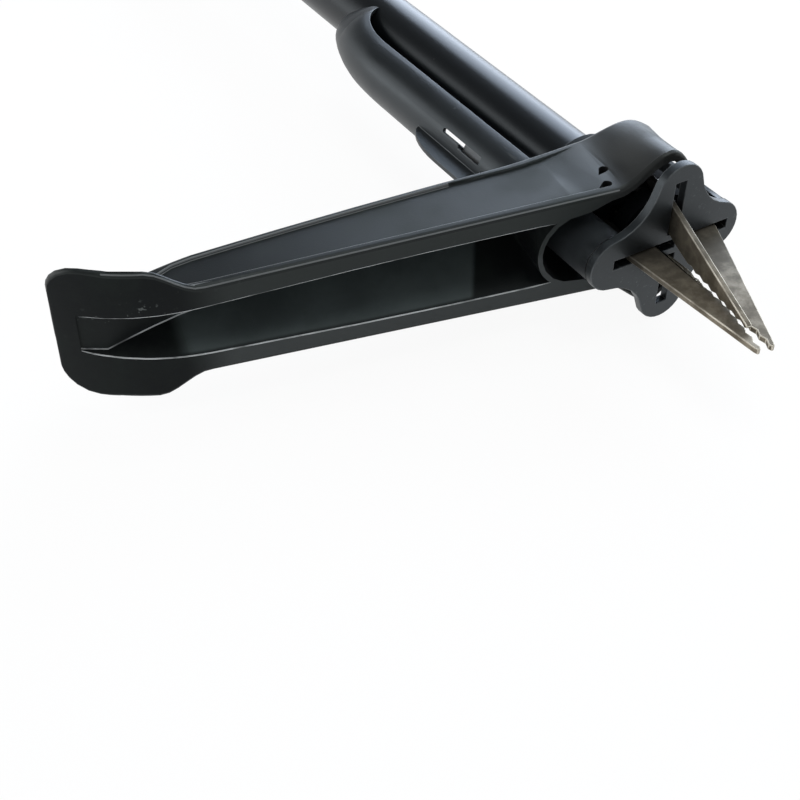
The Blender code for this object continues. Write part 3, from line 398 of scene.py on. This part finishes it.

# %% [markdown]
# ** Rubbed edges.** Handling polishes the rounded edges first, in patches. Cycles can guess where
# edges are from the mesh's pointiness, but that changes with the size of the triangles. The group
# reads the marked faces instead, and breaks them up with noise. On the pedal the same marks also
# carry a painted highlight.

# %% Rubbed edge group
PATCH_SIZE = 90.0
PATCH_STEP = (0.26, 0.58)
edge_group, start, end = new_group(
    "rubbed_edge",
    [("Vector", "NodeSocketVector", None)],
    [("Rubbed", "NodeSocketFloat"), ("Edge", "NodeSocketFloat")])
marked = add(edge_group, "ShaderNodeAttribute", attribute_name="rounded_edge").outputs["Fac"]
patchy = ramp(edge_group, noise(edge_group, start.outputs["Vector"], PATCH_SIZE), *PATCH_STEP)
edge_group.links.new(multiply(edge_group, marked, patchy), end.inputs["Rubbed"])
edge_group.links.new(marked, end.inputs["Edge"])
print("group:", edge_group.name)

# %% [markdown]
# **Dust and scuffs.** The pedal has been stood on and laid in a shed: pale specks, a faint film of
# dust in cloudy patches, and short scratches that run several ways. They could be painted by hand,
# but noise serves every piece alike: random cells make the specks, and stretched noise makes the
# scratches.

# %% Dust and scuff group
FILM_SIZE = 48.0
FILM_STEP = (0.42, 0.72)
SPECK_CELLS = 230.0
SPECK_SHARE = 0.93
SPECK_SIZE = 0.14
SCRATCH_SIZE = 520.0
SCRATCH_STEP = (0.66, 0.74)
SCRATCH_TILT = 0.7
SCRATCH_WAYS = ((0.5, 0.15), (-0.8, 0.18), (1.9, 0.12))
SCUFF_SIZE = 33.0
SCUFF_STEP = (0.52, 0.66)
dust_group, start, end = new_group(
    "dust_and_scuffs",
    [("Vector", "NodeSocketVector", None)],
    [("Film", "NodeSocketFloat"), ("Specks", "NodeSocketFloat"), ("Scratches", "NodeSocketFloat")])
point = start.outputs["Vector"]
clouds = noise(dust_group, point, FILM_SIZE, detail=6.0, roughness=0.65)
cells = add(dust_group, "ShaderNodeTexVoronoi", {"Vector": point, "Scale": SPECK_CELLS})
chosen = add(dust_group, "ShaderNodeSeparateColor", {"Color": cells.outputs["Color"]})
rare = math(dust_group, "GREATER_THAN", chosen.outputs["Red"], SPECK_SHARE)
size = multiply(dust_group, chosen.outputs["Green"], SPECK_SIZE)
inside = math(dust_group, "LESS_THAN", cells.outputs["Distance"], size)
scratches = None
for turn, stretch in SCRATCH_WAYS:
    turned = add(dust_group, "ShaderNodeMapping", {
        "Vector": point, "Rotation": (turn, turn * SCRATCH_TILT, turn),
        "Scale": (1.0, stretch, 1.0)})
    lines = noise(dust_group, turned.outputs[0], SCRATCH_SIZE, detail=2.0)
    line = ramp(dust_group, lines, *SCRATCH_STEP)
    scratches = line if scratches is None else math(dust_group, "MAXIMUM", scratches, line)
patches = ramp(dust_group, noise(dust_group, point, SCUFF_SIZE), *SCUFF_STEP)
dust_group.links.new(ramp(dust_group, clouds, *FILM_STEP), end.inputs["Film"])
dust_group.links.new(multiply(dust_group, rare, inside), end.inputs["Specks"])
dust_group.links.new(multiply(dust_group, scratches, patches), end.inputs["Scratches"])
print("group:", dust_group.name)

# %% [markdown]
# ** Places on the pedal.** The hollow under the pedal gets dust and painted light, with painted shade
# at its end by the head; the hump and the strips get painted light, and scuffs gather at its toe.
# A painted mask could say where, but it would need the pedal unwrapped. The group works out where a
# point lies from the pedal's own axes: along it from the hinge, up from its underside, and to the
# side.

# %% Pedal places group
CANT = radians(10.8)
HINGE = datum + Vector((-0.0025, 0.032, 0.0))
HINGE_OVER_UNDERSIDE = 0.0233
ALONG_PEDAL = (-cos(CANT), sin(CANT), 0.0)
UP_PEDAL = (sin(CANT), cos(CANT), 0.0)
TOE_BEND = 0.133
TOE_RUN = 0.043
TOE_RISE = 0.0155
TOE_POWER = 2.4
HOLLOW_HALF = 0.0115
HOLLOW_SOFT = 0.0004
HOLLOW_DEPTH = (0.0003, 0.0016)
HOLLOW_END = (0.139, 0.145)
# Near the head the hollow's pale colour fades out on a slant, which leaves painted shade there.
PAINTED_SHADE_END = (0.0530, 0.0552)
PAINTED_SHADE_SLANT = 0.44
FLARE = (0.126, 0.144)
TOE = (0.132, 0.158)
HUMP = (0.004, 0.018)
LOWER_SIDE = (-0.002, 0.002)
PLACES = ("Hollow", "Middle", "Toe", "Hump", "Flare", "Lower")
place_group, start, end = new_group(
    "pedal_places", [("Vector", "NodeSocketVector", None)],
    [(label, "NodeSocketFloat") for label in PLACES])


def vector_math(operation, first, second):
    """A node that works on two vectors."""
    return add(place_group, "ShaderNodeVectorMath", {0: first, 1: second}, operation=operation)


def place_math(operation, *values):
    """The result of one sum inside the group of places."""
    return math(place_group, operation, *values)


from_hinge = vector_math("SUBTRACT", start.outputs["Vector"], HINGE).outputs[0]
along = vector_math("DOT_PRODUCT", from_hinge, ALONG_PEDAL).outputs["Value"]
up = vector_math("DOT_PRODUCT", from_hinge, UP_PEDAL).outputs["Value"]
past_bend = place_math("MAXIMUM", place_math("SUBTRACT", along, TOE_BEND), 0.0)
rise = place_math("POWER", place_math("DIVIDE", past_bend, TOE_RUN), TOE_POWER)
underside = place_math("SUBTRACT", place_math("MULTIPLY", rise, TOE_RISE), HINGE_OVER_UNDERSIDE)
height = place_math("SUBTRACT", up, underside)
across = add(place_group, "ShaderNodeSeparateXYZ", {0: from_hinge}).outputs["Z"]
side = place_math("ABSOLUTE", across)
middle = ramp(
    place_group, side, HOLLOW_HALF - HOLLOW_SOFT, HOLLOW_HALF + HOLLOW_SOFT, 1.0, 0.0)
deep = ramp(place_group, height, *HOLLOW_DEPTH)
short_of_toe = ramp(place_group, along, *HOLLOW_END, 1.0, 0.0)
hollow = place_math("MULTIPLY", place_math("MULTIPLY", middle, deep), short_of_toe)
# Painted shade: the hollow mask fades to nothing at the hollow's end by the head.
slanted = place_math("ADD", along, place_math("MULTIPLY", height, PAINTED_SHADE_SLANT))
hollow = place_math("MULTIPLY", hollow, ramp(place_group, slanted, *PAINTED_SHADE_END))
toe = ramp(place_group, along, *TOE)
hump = ramp(place_group, along, *HUMP, 1.0, 0.0)
flare = ramp(place_group, along, *FLARE)
lower = ramp(place_group, across, *LOWER_SIDE, 1.0, 0.0)
for label, mask in zip(PLACES, (hollow, middle, toe, hump, flare, lower)):
    place_group.links.new(mask, end.inputs[label])
print("group:", place_group.name)

# %% [markdown]
# ## Black moulded plastic
#
# The pedal, plate, collar, cover and handle are one black plastic, a little different in each
# moulding. Its colour is nearly black, so the look comes from its satin shine, from the grain, and
# from a pale film where a foot rubs. These are its colours and amounts. A plain dark grey would be
# simpler, but black plastic looks grey only where it shines or is dusty.

# %% Colours of the plastic
COOL_SHINE = (0.82, 0.93, 1.0, 1.0)
GREEN_SHINE = (0.91, 1.0, 0.96, 1.0)
PLATE_BACK = (datum.y + 0.004, datum.y + 0.010)
# Pale for worn edges; on the pedal's edges it is also a painted highlight.
RUBBED_PALE_AND_HIGHLIGHT = (0.62, 0.64, 0.64, 1.0)
# A painted highlight on every marked edge of the pedal.
RIM_PAINTED_HIGHLIGHT = 0.20
SCUFF_PALE = (0.24, 0.26, 0.25, 1.0)
# The hollow's colour is dust and painted light: it stands in for light that bounces into the hollow.
HOLLOW_DUST_AND_PAINTED_LIGHT = (0.074, 0.090, 0.090, 1.0)
# The hump's paler tone is painted light from behind.
HUMP_PAINTED_LIGHT = (0.030, 0.030, 0.029, 1.0)
# A painted sheen on the two strips of the flat underside, paler on the lower strip.
STRIP_PAINTED_SHEEN = (0.034, 0.038, 0.037, 1.0)
LOW_STRIP_PAINTED_SHEEN = (0.058, 0.063, 0.063, 1.0)
HOLLOW_LEAST = 0.6
HUMP_LEAST = 0.5
MARKS_OFF_TOE = 0.04
GRAIN_DEPTH = 0.00005
GRAIN_STRENGTH = 0.45
UNEVEN = 0.08
DUST_DULLS = 0.2
RUB_POLISHES = 0.08
BLACK = (0.0070, 0.0080, 0.0088)
GREEN_DUST = (0.015, 0.019, 0.017)
GREY_DUST = (0.018, 0.019, 0.021)
SLIDER_GREY = (0.110, 0.113, 0.115)
print("darkest plastic:", BLACK, "and dust on it:", GREY_DUST)

# %% [markdown]
# The pedal gathers more dust than the rest, and gets painted light in places of its own: most in
# the hollow, where it is dust as well, less as a painted sheen along the two strips beside it, and
# least on the hump over the head. Clouds of noise keep the hollow and the hump from looking sprayed.

# %% Dust on the pedal
def foot_dust_and_painted_light(tree, places, cloud, shade, strips):
    """The pedal's colour, with painted light on its hollow, hump and strips, and dust in its hollow.
    """
    if strips:
        strip = mix_colours(tree, places["Lower"], STRIP_PAINTED_SHEEN, LOW_STRIP_PAINTED_SHEEN)
        shade = mix_colours(tree, places["Flare"], strip, shade)
    for label, dust, least in (("Hollow", HOLLOW_DUST_AND_PAINTED_LIGHT, HOLLOW_LEAST),
                               ("Hump", HUMP_PAINTED_LIGHT, HUMP_LEAST)):
        amount = multiply(tree, places[label], between(tree, cloud, least, 1.0))
        shade = mix_colours(tree, amount, shade, dust)
    return shade


print("places:", PLACES)

# %% [markdown]
# One function makes every black moulding. Each layer is mixed over the last, from the colour itself
# to the rubbed edges, which on the pedal also carry a painted highlight. Dust also dulls the shine,
# and rubbing polishes it, so the same masks feed the roughness.

# %% Moulded plastic material
def moulded_plastic(name, colour, dust_colour, roughness, shine, dusty=0.3, rub_and_highlight=0.1, grime=0.0,
                    pedal=False, strips=False):
    """Black plastic, grain, dust, worn edges; the pedal's adds painted light and highlights by place.
    """
    material, tree, shader, place = new_material(name)
    grain = use_group(tree, grain_group, vector=place).outputs
    dust = use_group(tree, dust_group, vector=place).outputs
    edge = use_group(tree, edge_group, vector=place).outputs
    film = multiply(tree, dust["Film"], dusty)
    marks = multiply(tree, math(tree, "MAXIMUM", dust["Specks"], dust["Scratches"]), dusty)
    edge_wear_and_highlight = multiply(tree, edge["Rubbed"], rub_and_highlight)
    shade = mix_colours(tree, film, (*colour, 1.0), (*dust_colour, 1.0))
    if pedal:
        places = use_group(tree, place_group, vector=place).outputs
        shade = foot_dust_and_painted_light(tree, places, grain["Cloud"], shade, strips)
        marks = multiply(tree, marks, between(tree, places["Toe"], MARKS_OFF_TOE, 1.0))
        # On the pedal the pale edges are wear and painted highlight: in the middle, and faintly on
        # every edge.
        edge_wear_and_highlight = multiply(tree, edge_wear_and_highlight, places["Middle"])
        edge_wear_and_highlight = math(tree, "MAXIMUM", edge_wear_and_highlight, multiply(tree, edge["Edge"], RIM_PAINTED_HIGHLIGHT))
    shade = mix_colours(tree, marks, shade, SCUFF_PALE)
    shade = mix_colours(tree, edge_wear_and_highlight, shade, RUBBED_PALE_AND_HIGHLIGHT)
    tree.links.new(shade, shader.inputs["Base Color"])
    uneven = multiply(tree, grain["Cloud"], UNEVEN)
    matt = math(tree, "ADD", uneven, roughness - UNEVEN / 2)
    matt = math(tree, "ADD", matt, multiply(tree, film, DUST_DULLS))
    from_front = add(tree, "ShaderNodeSeparateXYZ", {0: place}).outputs["Y"]
    behind_plate = ramp(tree, from_front, *PLATE_BACK)
    matt = math(tree, "ADD", matt, multiply(tree, behind_plate, grime))
    matt = math(tree, "SUBTRACT", matt, multiply(tree, edge_wear_and_highlight, RUB_POLISHES))
    tree.links.new(matt, shader.inputs["Roughness"])
    bumps(tree, shader, grain["Height"], GRAIN_STRENGTH, GRAIN_DEPTH)
    shader.inputs["Specular IOR Level"].default_value = shine
    shader.inputs["Specular Tint"].default_value = GREEN_SHINE if pedal else COOL_SHINE
    return material


print("grain depth, mm:", mm(GRAIN_DEPTH))

# %% [markdown]
# The mouldings differ in dust, roughness and shine. The pedal has three finishes of its own: its
# sides, the recess at the toe, and the flat underside.

# %% The black mouldings
# The pedal's pale edges are wear and painted highlight.
foot_plastic = {"colour": BLACK, "dust_colour": GREEN_DUST, "rub_and_highlight": 0.9, "pedal": True}
pedal_plastic = moulded_plastic(
    "pedal_plastic", roughness=0.41, shine=0.25, dusty=0.6, **foot_plastic)
recess_plastic = moulded_plastic(
    "recess_plastic", roughness=0.46, shine=0.14, dusty=0.9, **foot_plastic)
underside_plastic = moulded_plastic(
    "underside_plastic", roughness=0.44, shine=0.08, dusty=0.6, strips=True, **foot_plastic)
head_plastic = moulded_plastic(
    "head_plastic", BLACK, GREY_DUST, roughness=0.42, shine=0.50, dusty=0.15, grime=0.40)
core_plastic = moulded_plastic(
    "core_plastic", BLACK, GREY_DUST, roughness=0.80, shine=0.03, dusty=0.3)
cover_plastic = moulded_plastic(
    "cover_plastic", BLACK, GREY_DUST, roughness=0.40, shine=0.50, dusty=0.1)
handle_plastic = moulded_plastic(
    "handle_plastic", BLACK, GREY_DUST, roughness=0.45, shine=0.45, dusty=0.1)
slider_plastic = moulded_plastic(
    "slider_satin", SLIDER_GREY, GREY_DUST, roughness=0.5, shine=0.5, dusty=0.1)
plastics = (pedal_plastic, recess_plastic, underside_plastic, head_plastic, core_plastic,
            cover_plastic, handle_plastic, slider_plastic)
print("plastics:", len(plastics))

# %% [markdown]
# ## Painted tube
#
# The shaft is a steel tube with a smooth black coat. It is glossier than the plastic, with the
# gentle ripple of sprayed paint and a few dull wipe marks. Low roughness alone would look like wet
# plastic, so a thin clear coat lies over a duller base, as it does on paint.

# %% Tube paint
STREAK_STRETCH = (1.0, 0.08, 1.0)
STREAK_SIZE = 120.0
STREAK_STEP = (0.35, 0.7)
PAINT_DARK = (0.0025, 0.0029, 0.0036, 1.0)
PAINT_PALE = (0.0042, 0.0046, 0.0054, 1.0)
PAINT_SPECK = (0.10, 0.10, 0.10, 1.0)
PAINT_SPECKS = 0.25
PAINT_ROUGH = (0.33, 0.36)
PAINT_SHINE = 0.30
CLEAR_COAT = 0.06
CLEAR_COAT_ROUGH = 0.28
PEEL_SIZE = 420.0
PEEL_STRENGTH = 0.12
PEEL_DEPTH = 0.00004


def tube_paint():
    """Black paint with streaks along the tube, specks and a slight ripple."""
    material, tree, shader, place = new_material("tube_paint")
    dust = use_group(tree, dust_group, vector=place)
    stretched = add(tree, "ShaderNodeMapping", {"Vector": place, "Scale": STREAK_STRETCH})
    streaks = ramp(tree, noise(tree, stretched.outputs[0], STREAK_SIZE, detail=4.0), *STREAK_STEP)
    specks = multiply(tree, dust.outputs["Specks"], PAINT_SPECKS)
    shade = mix_colours(tree, streaks, PAINT_DARK, PAINT_PALE)
    shade = mix_colours(tree, specks, shade, PAINT_SPECK)
    tree.links.new(shade, shader.inputs["Base Color"])
    tree.links.new(between(tree, streaks, *PAINT_ROUGH), shader.inputs["Roughness"])
    shader.inputs["Specular Tint"].default_value = COOL_SHINE
    shader.inputs["Specular IOR Level"].default_value = PAINT_SHINE
    shader.inputs["Coat Weight"].default_value = CLEAR_COAT
    shader.inputs["Coat Roughness"].default_value = CLEAR_COAT_ROUGH
    bumps(tree, shader, noise(tree, place, PEEL_SIZE, detail=2.0), PEEL_STRENGTH, PEEL_DEPTH)
    return material


black_paint = tube_paint()
print("paint:", black_paint.name)

# %% [markdown]
# ## Claw steel
#
# The claws are stamped from warm grey steel. Their faces are blotched by soil and heat treatment,
# faint grind lines run along them, and the cut edges are rubbed bright. Pure metal would mirror the
# white room, so the steel is only partly metallic: soil and oxide scatter the rest of the light.

# %% Claw steel
BLOTCH_SIZE = 120.0
BLOTCH_STEP = (0.34, 0.68)
SPOT_SIZE = 620.0
SPOT_STEP = (0.5, 0.7)
SPOT_AMOUNT = 0.3
GRIND_STRETCH = (1.0, 0.06, 1.0)
GRIND_SIZE = 1500.0
GRIND_STRENGTH = 0.25
GRIND_DEPTH = 0.00003
GRIND_ROUGH = 0.06
STEEL_DARK = (0.105, 0.087, 0.060, 1.0)
STEEL_PALE = (0.270, 0.235, 0.178, 1.0)
STEEL_SPOT = (0.15, 0.122, 0.085, 1.0)
STEEL_EDGE = (0.70, 0.65, 0.55, 1.0)
STEEL_ROUGH = (0.56, 0.46)
STEEL_METAL = 0.55
# The claws get darker and browner towards the claw plate.
ROOTWARD_DARK = (0.060, 0.054, 0.042, 1.0)
ROOTWARD_REACH = (datum.y - 0.038, datum.y + 0.002)
ROOTWARD_AMOUNT = 0.85
ROOTWARD_ON_PALE = 0.7
# Painted shade where the claws pass into the plate.
ROOT_PAINTED_SHADE = (0.030, 0.028, 0.025, 1.0)
ROOT_REACH = (datum.y - 0.001, datum.y + 0.004)


def claw_steel_finish():
    """Worn steel, darker towards the claw plate, with painted shade where it enters the plate."""
    material, tree, shader, place = new_material("claw_steel_worn")
    edge = use_group(tree, edge_group, vector=place)
    blotches = noise(tree, place, BLOTCH_SIZE, detail=6.0, roughness=0.62)
    blotch = ramp(tree, blotches, *BLOTCH_STEP)
    spots = ramp(tree, noise(tree, place, SPOT_SIZE), *SPOT_STEP)
    stretched = add(tree, "ShaderNodeMapping", {"Vector": place, "Scale": GRIND_STRETCH})
    grind = noise(tree, stretched.outputs[0], GRIND_SIZE, detail=2.0)
    shade = mix_colours(tree, blotch, STEEL_DARK, STEEL_PALE)
    shade = mix_colours(tree, multiply(tree, spots, SPOT_AMOUNT), shade, STEEL_SPOT)
    shade = mix_colours(tree, edge.outputs["Rubbed"], shade, STEEL_EDGE)
    from_front = add(tree, "ShaderNodeSeparateXYZ", {0: place}).outputs["Y"]
    rootward = ramp(tree, from_front, *ROOTWARD_REACH, 0.0, ROOTWARD_AMOUNT)
    rootward = multiply(tree, rootward, between(tree, blotch, 1.0, ROOTWARD_ON_PALE))
    shade = mix_colours(tree, rootward, shade, ROOTWARD_DARK)
    root = ramp(tree, from_front, *ROOT_REACH)
    shade = mix_colours(tree, root, shade, ROOT_PAINTED_SHADE)
    tree.links.new(shade, shader.inputs["Base Color"])
    rough = between(tree, blotch, *STEEL_ROUGH)
    rough = math(tree, "ADD", rough, multiply(tree, grind, GRIND_ROUGH))
    tree.links.new(rough, shader.inputs["Roughness"])
    bumps(tree, shader, grind, GRIND_STRENGTH, GRIND_DEPTH)
    shader.inputs["Metallic"].default_value = STEEL_METAL
    return material


claw_steel = claw_steel_finish()
print("steel:", claw_steel.name)

# %% [markdown]
# Screws, the pivot and the spring are zinc-plated: a cooler, cleaner steel with a slight
# cloudiness. The claws' pins sit behind the plate, and theirs is the same plating, much darker. One
# function with two pairs of colours makes both.

# %% Zinc plate
ZINC_CLEAN = ((0.36, 0.36, 0.37, 1.0), (0.52, 0.52, 0.51, 1.0))
ZINC_DARK = ((0.030, 0.029, 0.028, 1.0), (0.075, 0.072, 0.068, 1.0))
ZINC_CLOUDS = 300.0
ZINC_STEP = (0.35, 0.65)
ZINC_RUB = 0.5
ZINC_ROUGH = (0.42, 0.28)


def zinc_finish(name, low, high):
    """Cloudy zinc plate between two colours."""
    material, tree, shader, place = new_material(name)
    edge = use_group(tree, edge_group, vector=place)
    cloud = ramp(tree, noise(tree, place, ZINC_CLOUDS, detail=4.0), *ZINC_STEP)
    shade = mix_colours(tree, cloud, low, high)
    shade = mix_colours(tree, multiply(tree, edge.outputs["Rubbed"], ZINC_RUB), shade, high)
    tree.links.new(shade, shader.inputs["Base Color"])
    tree.links.new(between(tree, cloud, *ZINC_ROUGH), shader.inputs["Roughness"])
    shader.inputs["Metallic"].default_value = 1.0
    return material


zinc_plate = zinc_finish("zinc_plate", *ZINC_CLEAN)
dark_zinc = zinc_finish("dark_zinc", *ZINC_DARK)
print("plating:", zinc_plate.name, dark_zinc.name)

# %% [markdown]
# The grip is a soft rubber sleeve. It is duller than the plastic, and small pimples keep a gloved
# hand from slipping. Thousands of them would make a heavy mesh, so random cells, set almost in
# rows, raise them in the finish.

# %% Grip rubber
PIMPLE_CELLS = 420.0
PIMPLE_SCATTER = 0.15
PIMPLE_STEP = (0.42, 0.12)
PIMPLE_STRENGTH = 0.6
PIMPLE_DEPTH = 0.0004
RUBBER_DARK = (0.006, 0.006, 0.0065, 1.0)
RUBBER_PALE = (0.012, 0.012, 0.012, 1.0)
RUBBER_DUST = (0.03, 0.03, 0.03, 1.0)
RUBBER_FILM = 0.3
RUBBER_ROUGH = (0.85, 0.7)


def rubber_finish():
    """Dull rubber with pimples and a film of dust."""
    material, tree, shader, place = new_material("grip_rubber_pimpled")
    dust = use_group(tree, dust_group, vector=place)
    cells = add(tree, "ShaderNodeTexVoronoi", {
        "Vector": place, "Scale": PIMPLE_CELLS, "Randomness": PIMPLE_SCATTER})
    pimple = ramp(tree, cells.outputs["Distance"], *PIMPLE_STEP)
    shade = mix_colours(tree, pimple, RUBBER_DARK, RUBBER_PALE)
    film = multiply(tree, dust.outputs["Film"], RUBBER_FILM)
    shade = mix_colours(tree, film, shade, RUBBER_DUST)
    tree.links.new(shade, shader.inputs["Base Color"])
    tree.links.new(between(tree, pimple, *RUBBER_ROUGH), shader.inputs["Roughness"])
    bumps(tree, shader, pimple, PIMPLE_STRENGTH, PIMPLE_DEPTH)
    return material


grip_rubber = rubber_finish()
print("rubber:", grip_rubber.name)

# %% [markdown]
# ## Dress every piece
#
# Each skin takes the finish of its material, and the imported solid under it gets the same finish.
# Every solid could be given its finish by hand, but most small parts follow from their names.

# %% Dress the skins
finishes = {
    "pedal_yoke": pedal_plastic, "claw_plate": head_plastic, "head_collar": head_plastic,
    "head_core": core_plastic, "shaft_cover": cover_plastic, "slider_rail": cover_plastic,
    "return_slider": slider_plastic, "handle_half_upper": handle_plastic,
    "handle_half_lower": handle_plastic, "handle_grip": grip_rubber, "shaft_tube": black_paint}


def finish_for(node):
    """The finish of a solid: listed above, or steel for a claw and zinc for the small parts."""
    if node in finishes:
        return finishes[node]
    if node.startswith("claw_"):
        return dark_zinc if node.endswith("_pin") else claw_steel
    return zinc_plate


for node, piece in skins.items():
    finish = finish_for(node)
    piece.data.materials.clear()
    piece.data.materials.append(finish)
    nodes[node].data.materials.clear()
    nodes[node].data.materials.append(finish)
print("dressed:", len(skins))

# %% [markdown]
# The sunk field at the pedal's toe looks darker than the face round it, as if the mould had left it
# dull. Its faces lie past the bend, near the middle, and deeper than the underside. The flat
# underside itself looks dull too: dark at the toe, with a painted sheen along the two strips beside
# the hollow. A mask in one material could blend such places, but the steps here are sharp, so each
# face is given one of three finishes.

# %% Dull faces under the pedal
FIELD_START = 0.143
FIELD_HALF = 0.0112
FIELD_DEEP = 0.0008
FACES_DOWN = -0.7
FACES_ASIDE = 0.2
SATIN, RECESS, UNDERSIDE = 0, 1, 2


def dull_kind(face):
    """Which of the pedal's three finishes a face has."""
    away = face.center - HINGE
    along = away.dot(Vector(ALONG_PEDAL))
    rise = TOE_RISE * (max(along - TOE_BEND, 0.0) / TOE_RUN) ** TOE_POWER
    depth = away.dot(Vector(UP_PEDAL)) + HINGE_OVER_UNDERSIDE - rise
    facing = face.normal.dot(Vector(UP_PEDAL))
    if along > FIELD_START and abs(away.z) < FIELD_HALF and depth > FIELD_DEEP:
        return RECESS if facing < 0.0 else SATIN
    flat = facing < FACES_DOWN and abs(face.normal.z) < FACES_ASIDE
    return UNDERSIDE if flat and depth < FIELD_DEEP else SATIN


pedal_mesh = skins["pedal_yoke"].data
pedal_mesh.materials.append(recess_plastic)
pedal_mesh.materials.append(underside_plastic)
for face in pedal_mesh.polygons:
    face.material_index = dull_kind(face)
print("dull faces:", sum(face.material_index != SATIN for face in pedal_mesh.polygons))

# %% [markdown]
# ## Floor, light and camera
#
# The tool was photographed on white. A plain white floor turns grey away from the lamps, so this
# one mostly glows white to the camera and to shiny surfaces. The rest of it is plain white paper,
# so that the tool's shadow still falls on it.

# %% Floor
FLOOR_HALF = 6.0
FLOOR_GLOW = 0.93
PAPER = 0.90
builder = bmesh.new()
bmesh.ops.create_grid(builder, x_segments=1, y_segments=1, size=FLOOR_HALF)
floor_mesh = bpy.data.meshes.new("floor")
builder.to_mesh(floor_mesh)
builder.free()
floor = bpy.data.objects.new("floor", floor_mesh)
bpy.context.scene.collection.objects.link(floor)
paper = bpy.data.materials.new("floor_paper")
paper.use_nodes = True
tree = paper.node_tree
tree.nodes.clear()
rays = add(tree, "ShaderNodeLightPath").outputs
bounced = math(tree, "MAXIMUM", rays["Is Glossy Ray"], rays["Is Transmission Ray"])
seen = math(tree, "MAXIMUM", rays["Is Camera Ray"], bounced)
matt = add(tree, "ShaderNodeBsdfDiffuse", {"Color": (PAPER, PAPER, PAPER, 1.0)})
glow = add(tree, "ShaderNodeEmission", {"Color": (1.0, 1.0, 1.0, 1.0), "Strength": 1.0})
share = multiply(tree, seen, FLOOR_GLOW)
mixed = add(tree, "ShaderNodeMixShader", {0: share, 1: matt.outputs[0], 2: glow.outputs[0]})
add(tree, "ShaderNodeOutputMaterial", {"Surface": mixed.outputs[0]})
floor_mesh.materials.append(paper)
print("floor, m:", FLOOR_HALF * 2)

# %% [markdown]
# A picture of a studio could light the tool, but two plain backgrounds are enough. The room that
# the camera and shiny surfaces see is bright at the horizon, and the light that it sheds is dim, so
# that black plastic stays black.

# %% Room
HORIZON = 1.0
CEILING = 0.12
ROOM_FADE = (0.10, 0.42)
ROOM_LIGHT = 0.40
ROOM_COLOUR = (0.94, 0.97, 1.0, 1.0)
FILL_COLOUR = (0.97, 0.98, 1.0, 1.0)
world = bpy.data.worlds.new("room")
bpy.context.scene.world = world
world.use_nodes = True
tree = world.node_tree
tree.nodes.clear()
rays = add(tree, "ShaderNodeLightPath")
looking = add(tree, "ShaderNodeTexCoord").outputs["Generated"]
way = add(tree, "ShaderNodeSeparateXYZ", {0: looking})
height = ramp(tree, way.outputs["Z"], *ROOM_FADE, HORIZON, CEILING)
room = add(tree, "ShaderNodeBackground", {"Color": ROOM_COLOUR, "Strength": height})
fill = add(tree, "ShaderNodeBackground", {"Color": FILL_COLOUR, "Strength": ROOM_LIGHT})
mixed = add(tree, "ShaderNodeMixShader", {
    0: rays.outputs["Is Diffuse Ray"], 1: room.outputs[0], 2: fill.outputs[0]})
add(tree, "ShaderNodeOutputWorld", {"Surface": mixed.outputs[0]})
print("room:", world.name)

# %% [markdown]
# The lamps are flat panels, like a studio's soft boxes. A large one stands behind on the right and
# skims the tube, and a smaller one on the left rounds the cover. One overhead lights the hump, and
# one on the right lights the claws. A panel's power follows from its size and from how bright it
# should look, so a larger panel gives a broader highlight and not a brighter one.

# %% Lamps
def soft_light(name, direction, distance, width, height, radiance, colour):
    """A flat lamp that faces the tool's head, bright enough to show the given radiance."""
    lamp = bpy.data.lights.new(name, "AREA")
    lamp.shape = "RECTANGLE"
    lamp.size = width
    lamp.size_y = height
    lamp.energy = radiance * pi * width * height
    lamp.color = colour
    holder = bpy.data.objects.new(name, lamp)
    way = Vector(direction).normalized()
    holder.location = datum + way * distance
    holder.rotation_euler = (-way).to_track_quat("-Z", "Y").to_euler()
    bpy.context.scene.collection.objects.link(holder)
    return holder


lamps = [
    soft_light("back_right", (0.695, 0.649, 0.309), distance=1.3, width=1.05, height=0.95,
               radiance=5.6, colour=(0.74, 0.84, 1.0)),
    soft_light("left", (-0.78, 0.50, 0.28), distance=1.1, width=1.0, height=0.6,
               radiance=2.6, colour=(1.0, 1.0, 1.0)),
    soft_light("overhead", (0.10, 0.03, 0.99), distance=1.2, width=1.0, height=0.5,
               radiance=3.2, colour=(0.95, 0.98, 1.0)),
    soft_light("right", (0.87, -0.02, 0.50), distance=1.2, width=0.9, height=0.5,
               radiance=4.5, colour=(0.85, 0.93, 1.0))]
print("lamps:", len(lamps))

# %% [markdown]
# The camera stands where the picture was taken from: in front of the claws, to the pedal's side,
# and a good way above. Its place was worked out from the tube's edges and the pedal's length, so
# the lens and place are fixed values.

# %% Camera
LENS = 60.75
SENSOR = 36.0
NEAREST = 0.01
CAMERA_OFFSET = Vector((-0.2502, -0.2432, 0.2423))
CAMERA_RIGHT = Vector((0.85247, -0.52264, 0.01207))
CAMERA_UP = Vector((0.34435, 0.57874, 0.73924))
camera_data = bpy.data.cameras.new("camera")
camera_data.lens = LENS
camera_data.sensor_width = SENSOR
camera_data.clip_start = NEAREST
camera = bpy.data.objects.new("camera", camera_data)
turn = Matrix((CAMERA_RIGHT, CAMERA_UP, CAMERA_RIGHT.cross(CAMERA_UP))).transposed().to_4x4()
camera.matrix_world = Matrix.Translation(datum + CAMERA_OFFSET) @ turn
bpy.context.scene.collection.objects.link(camera)
bpy.context.scene.camera = camera
bpy.context.scene.view_settings.view_transform = "Standard"
print("camera, m:", [round(value, 3) for value in camera.location])
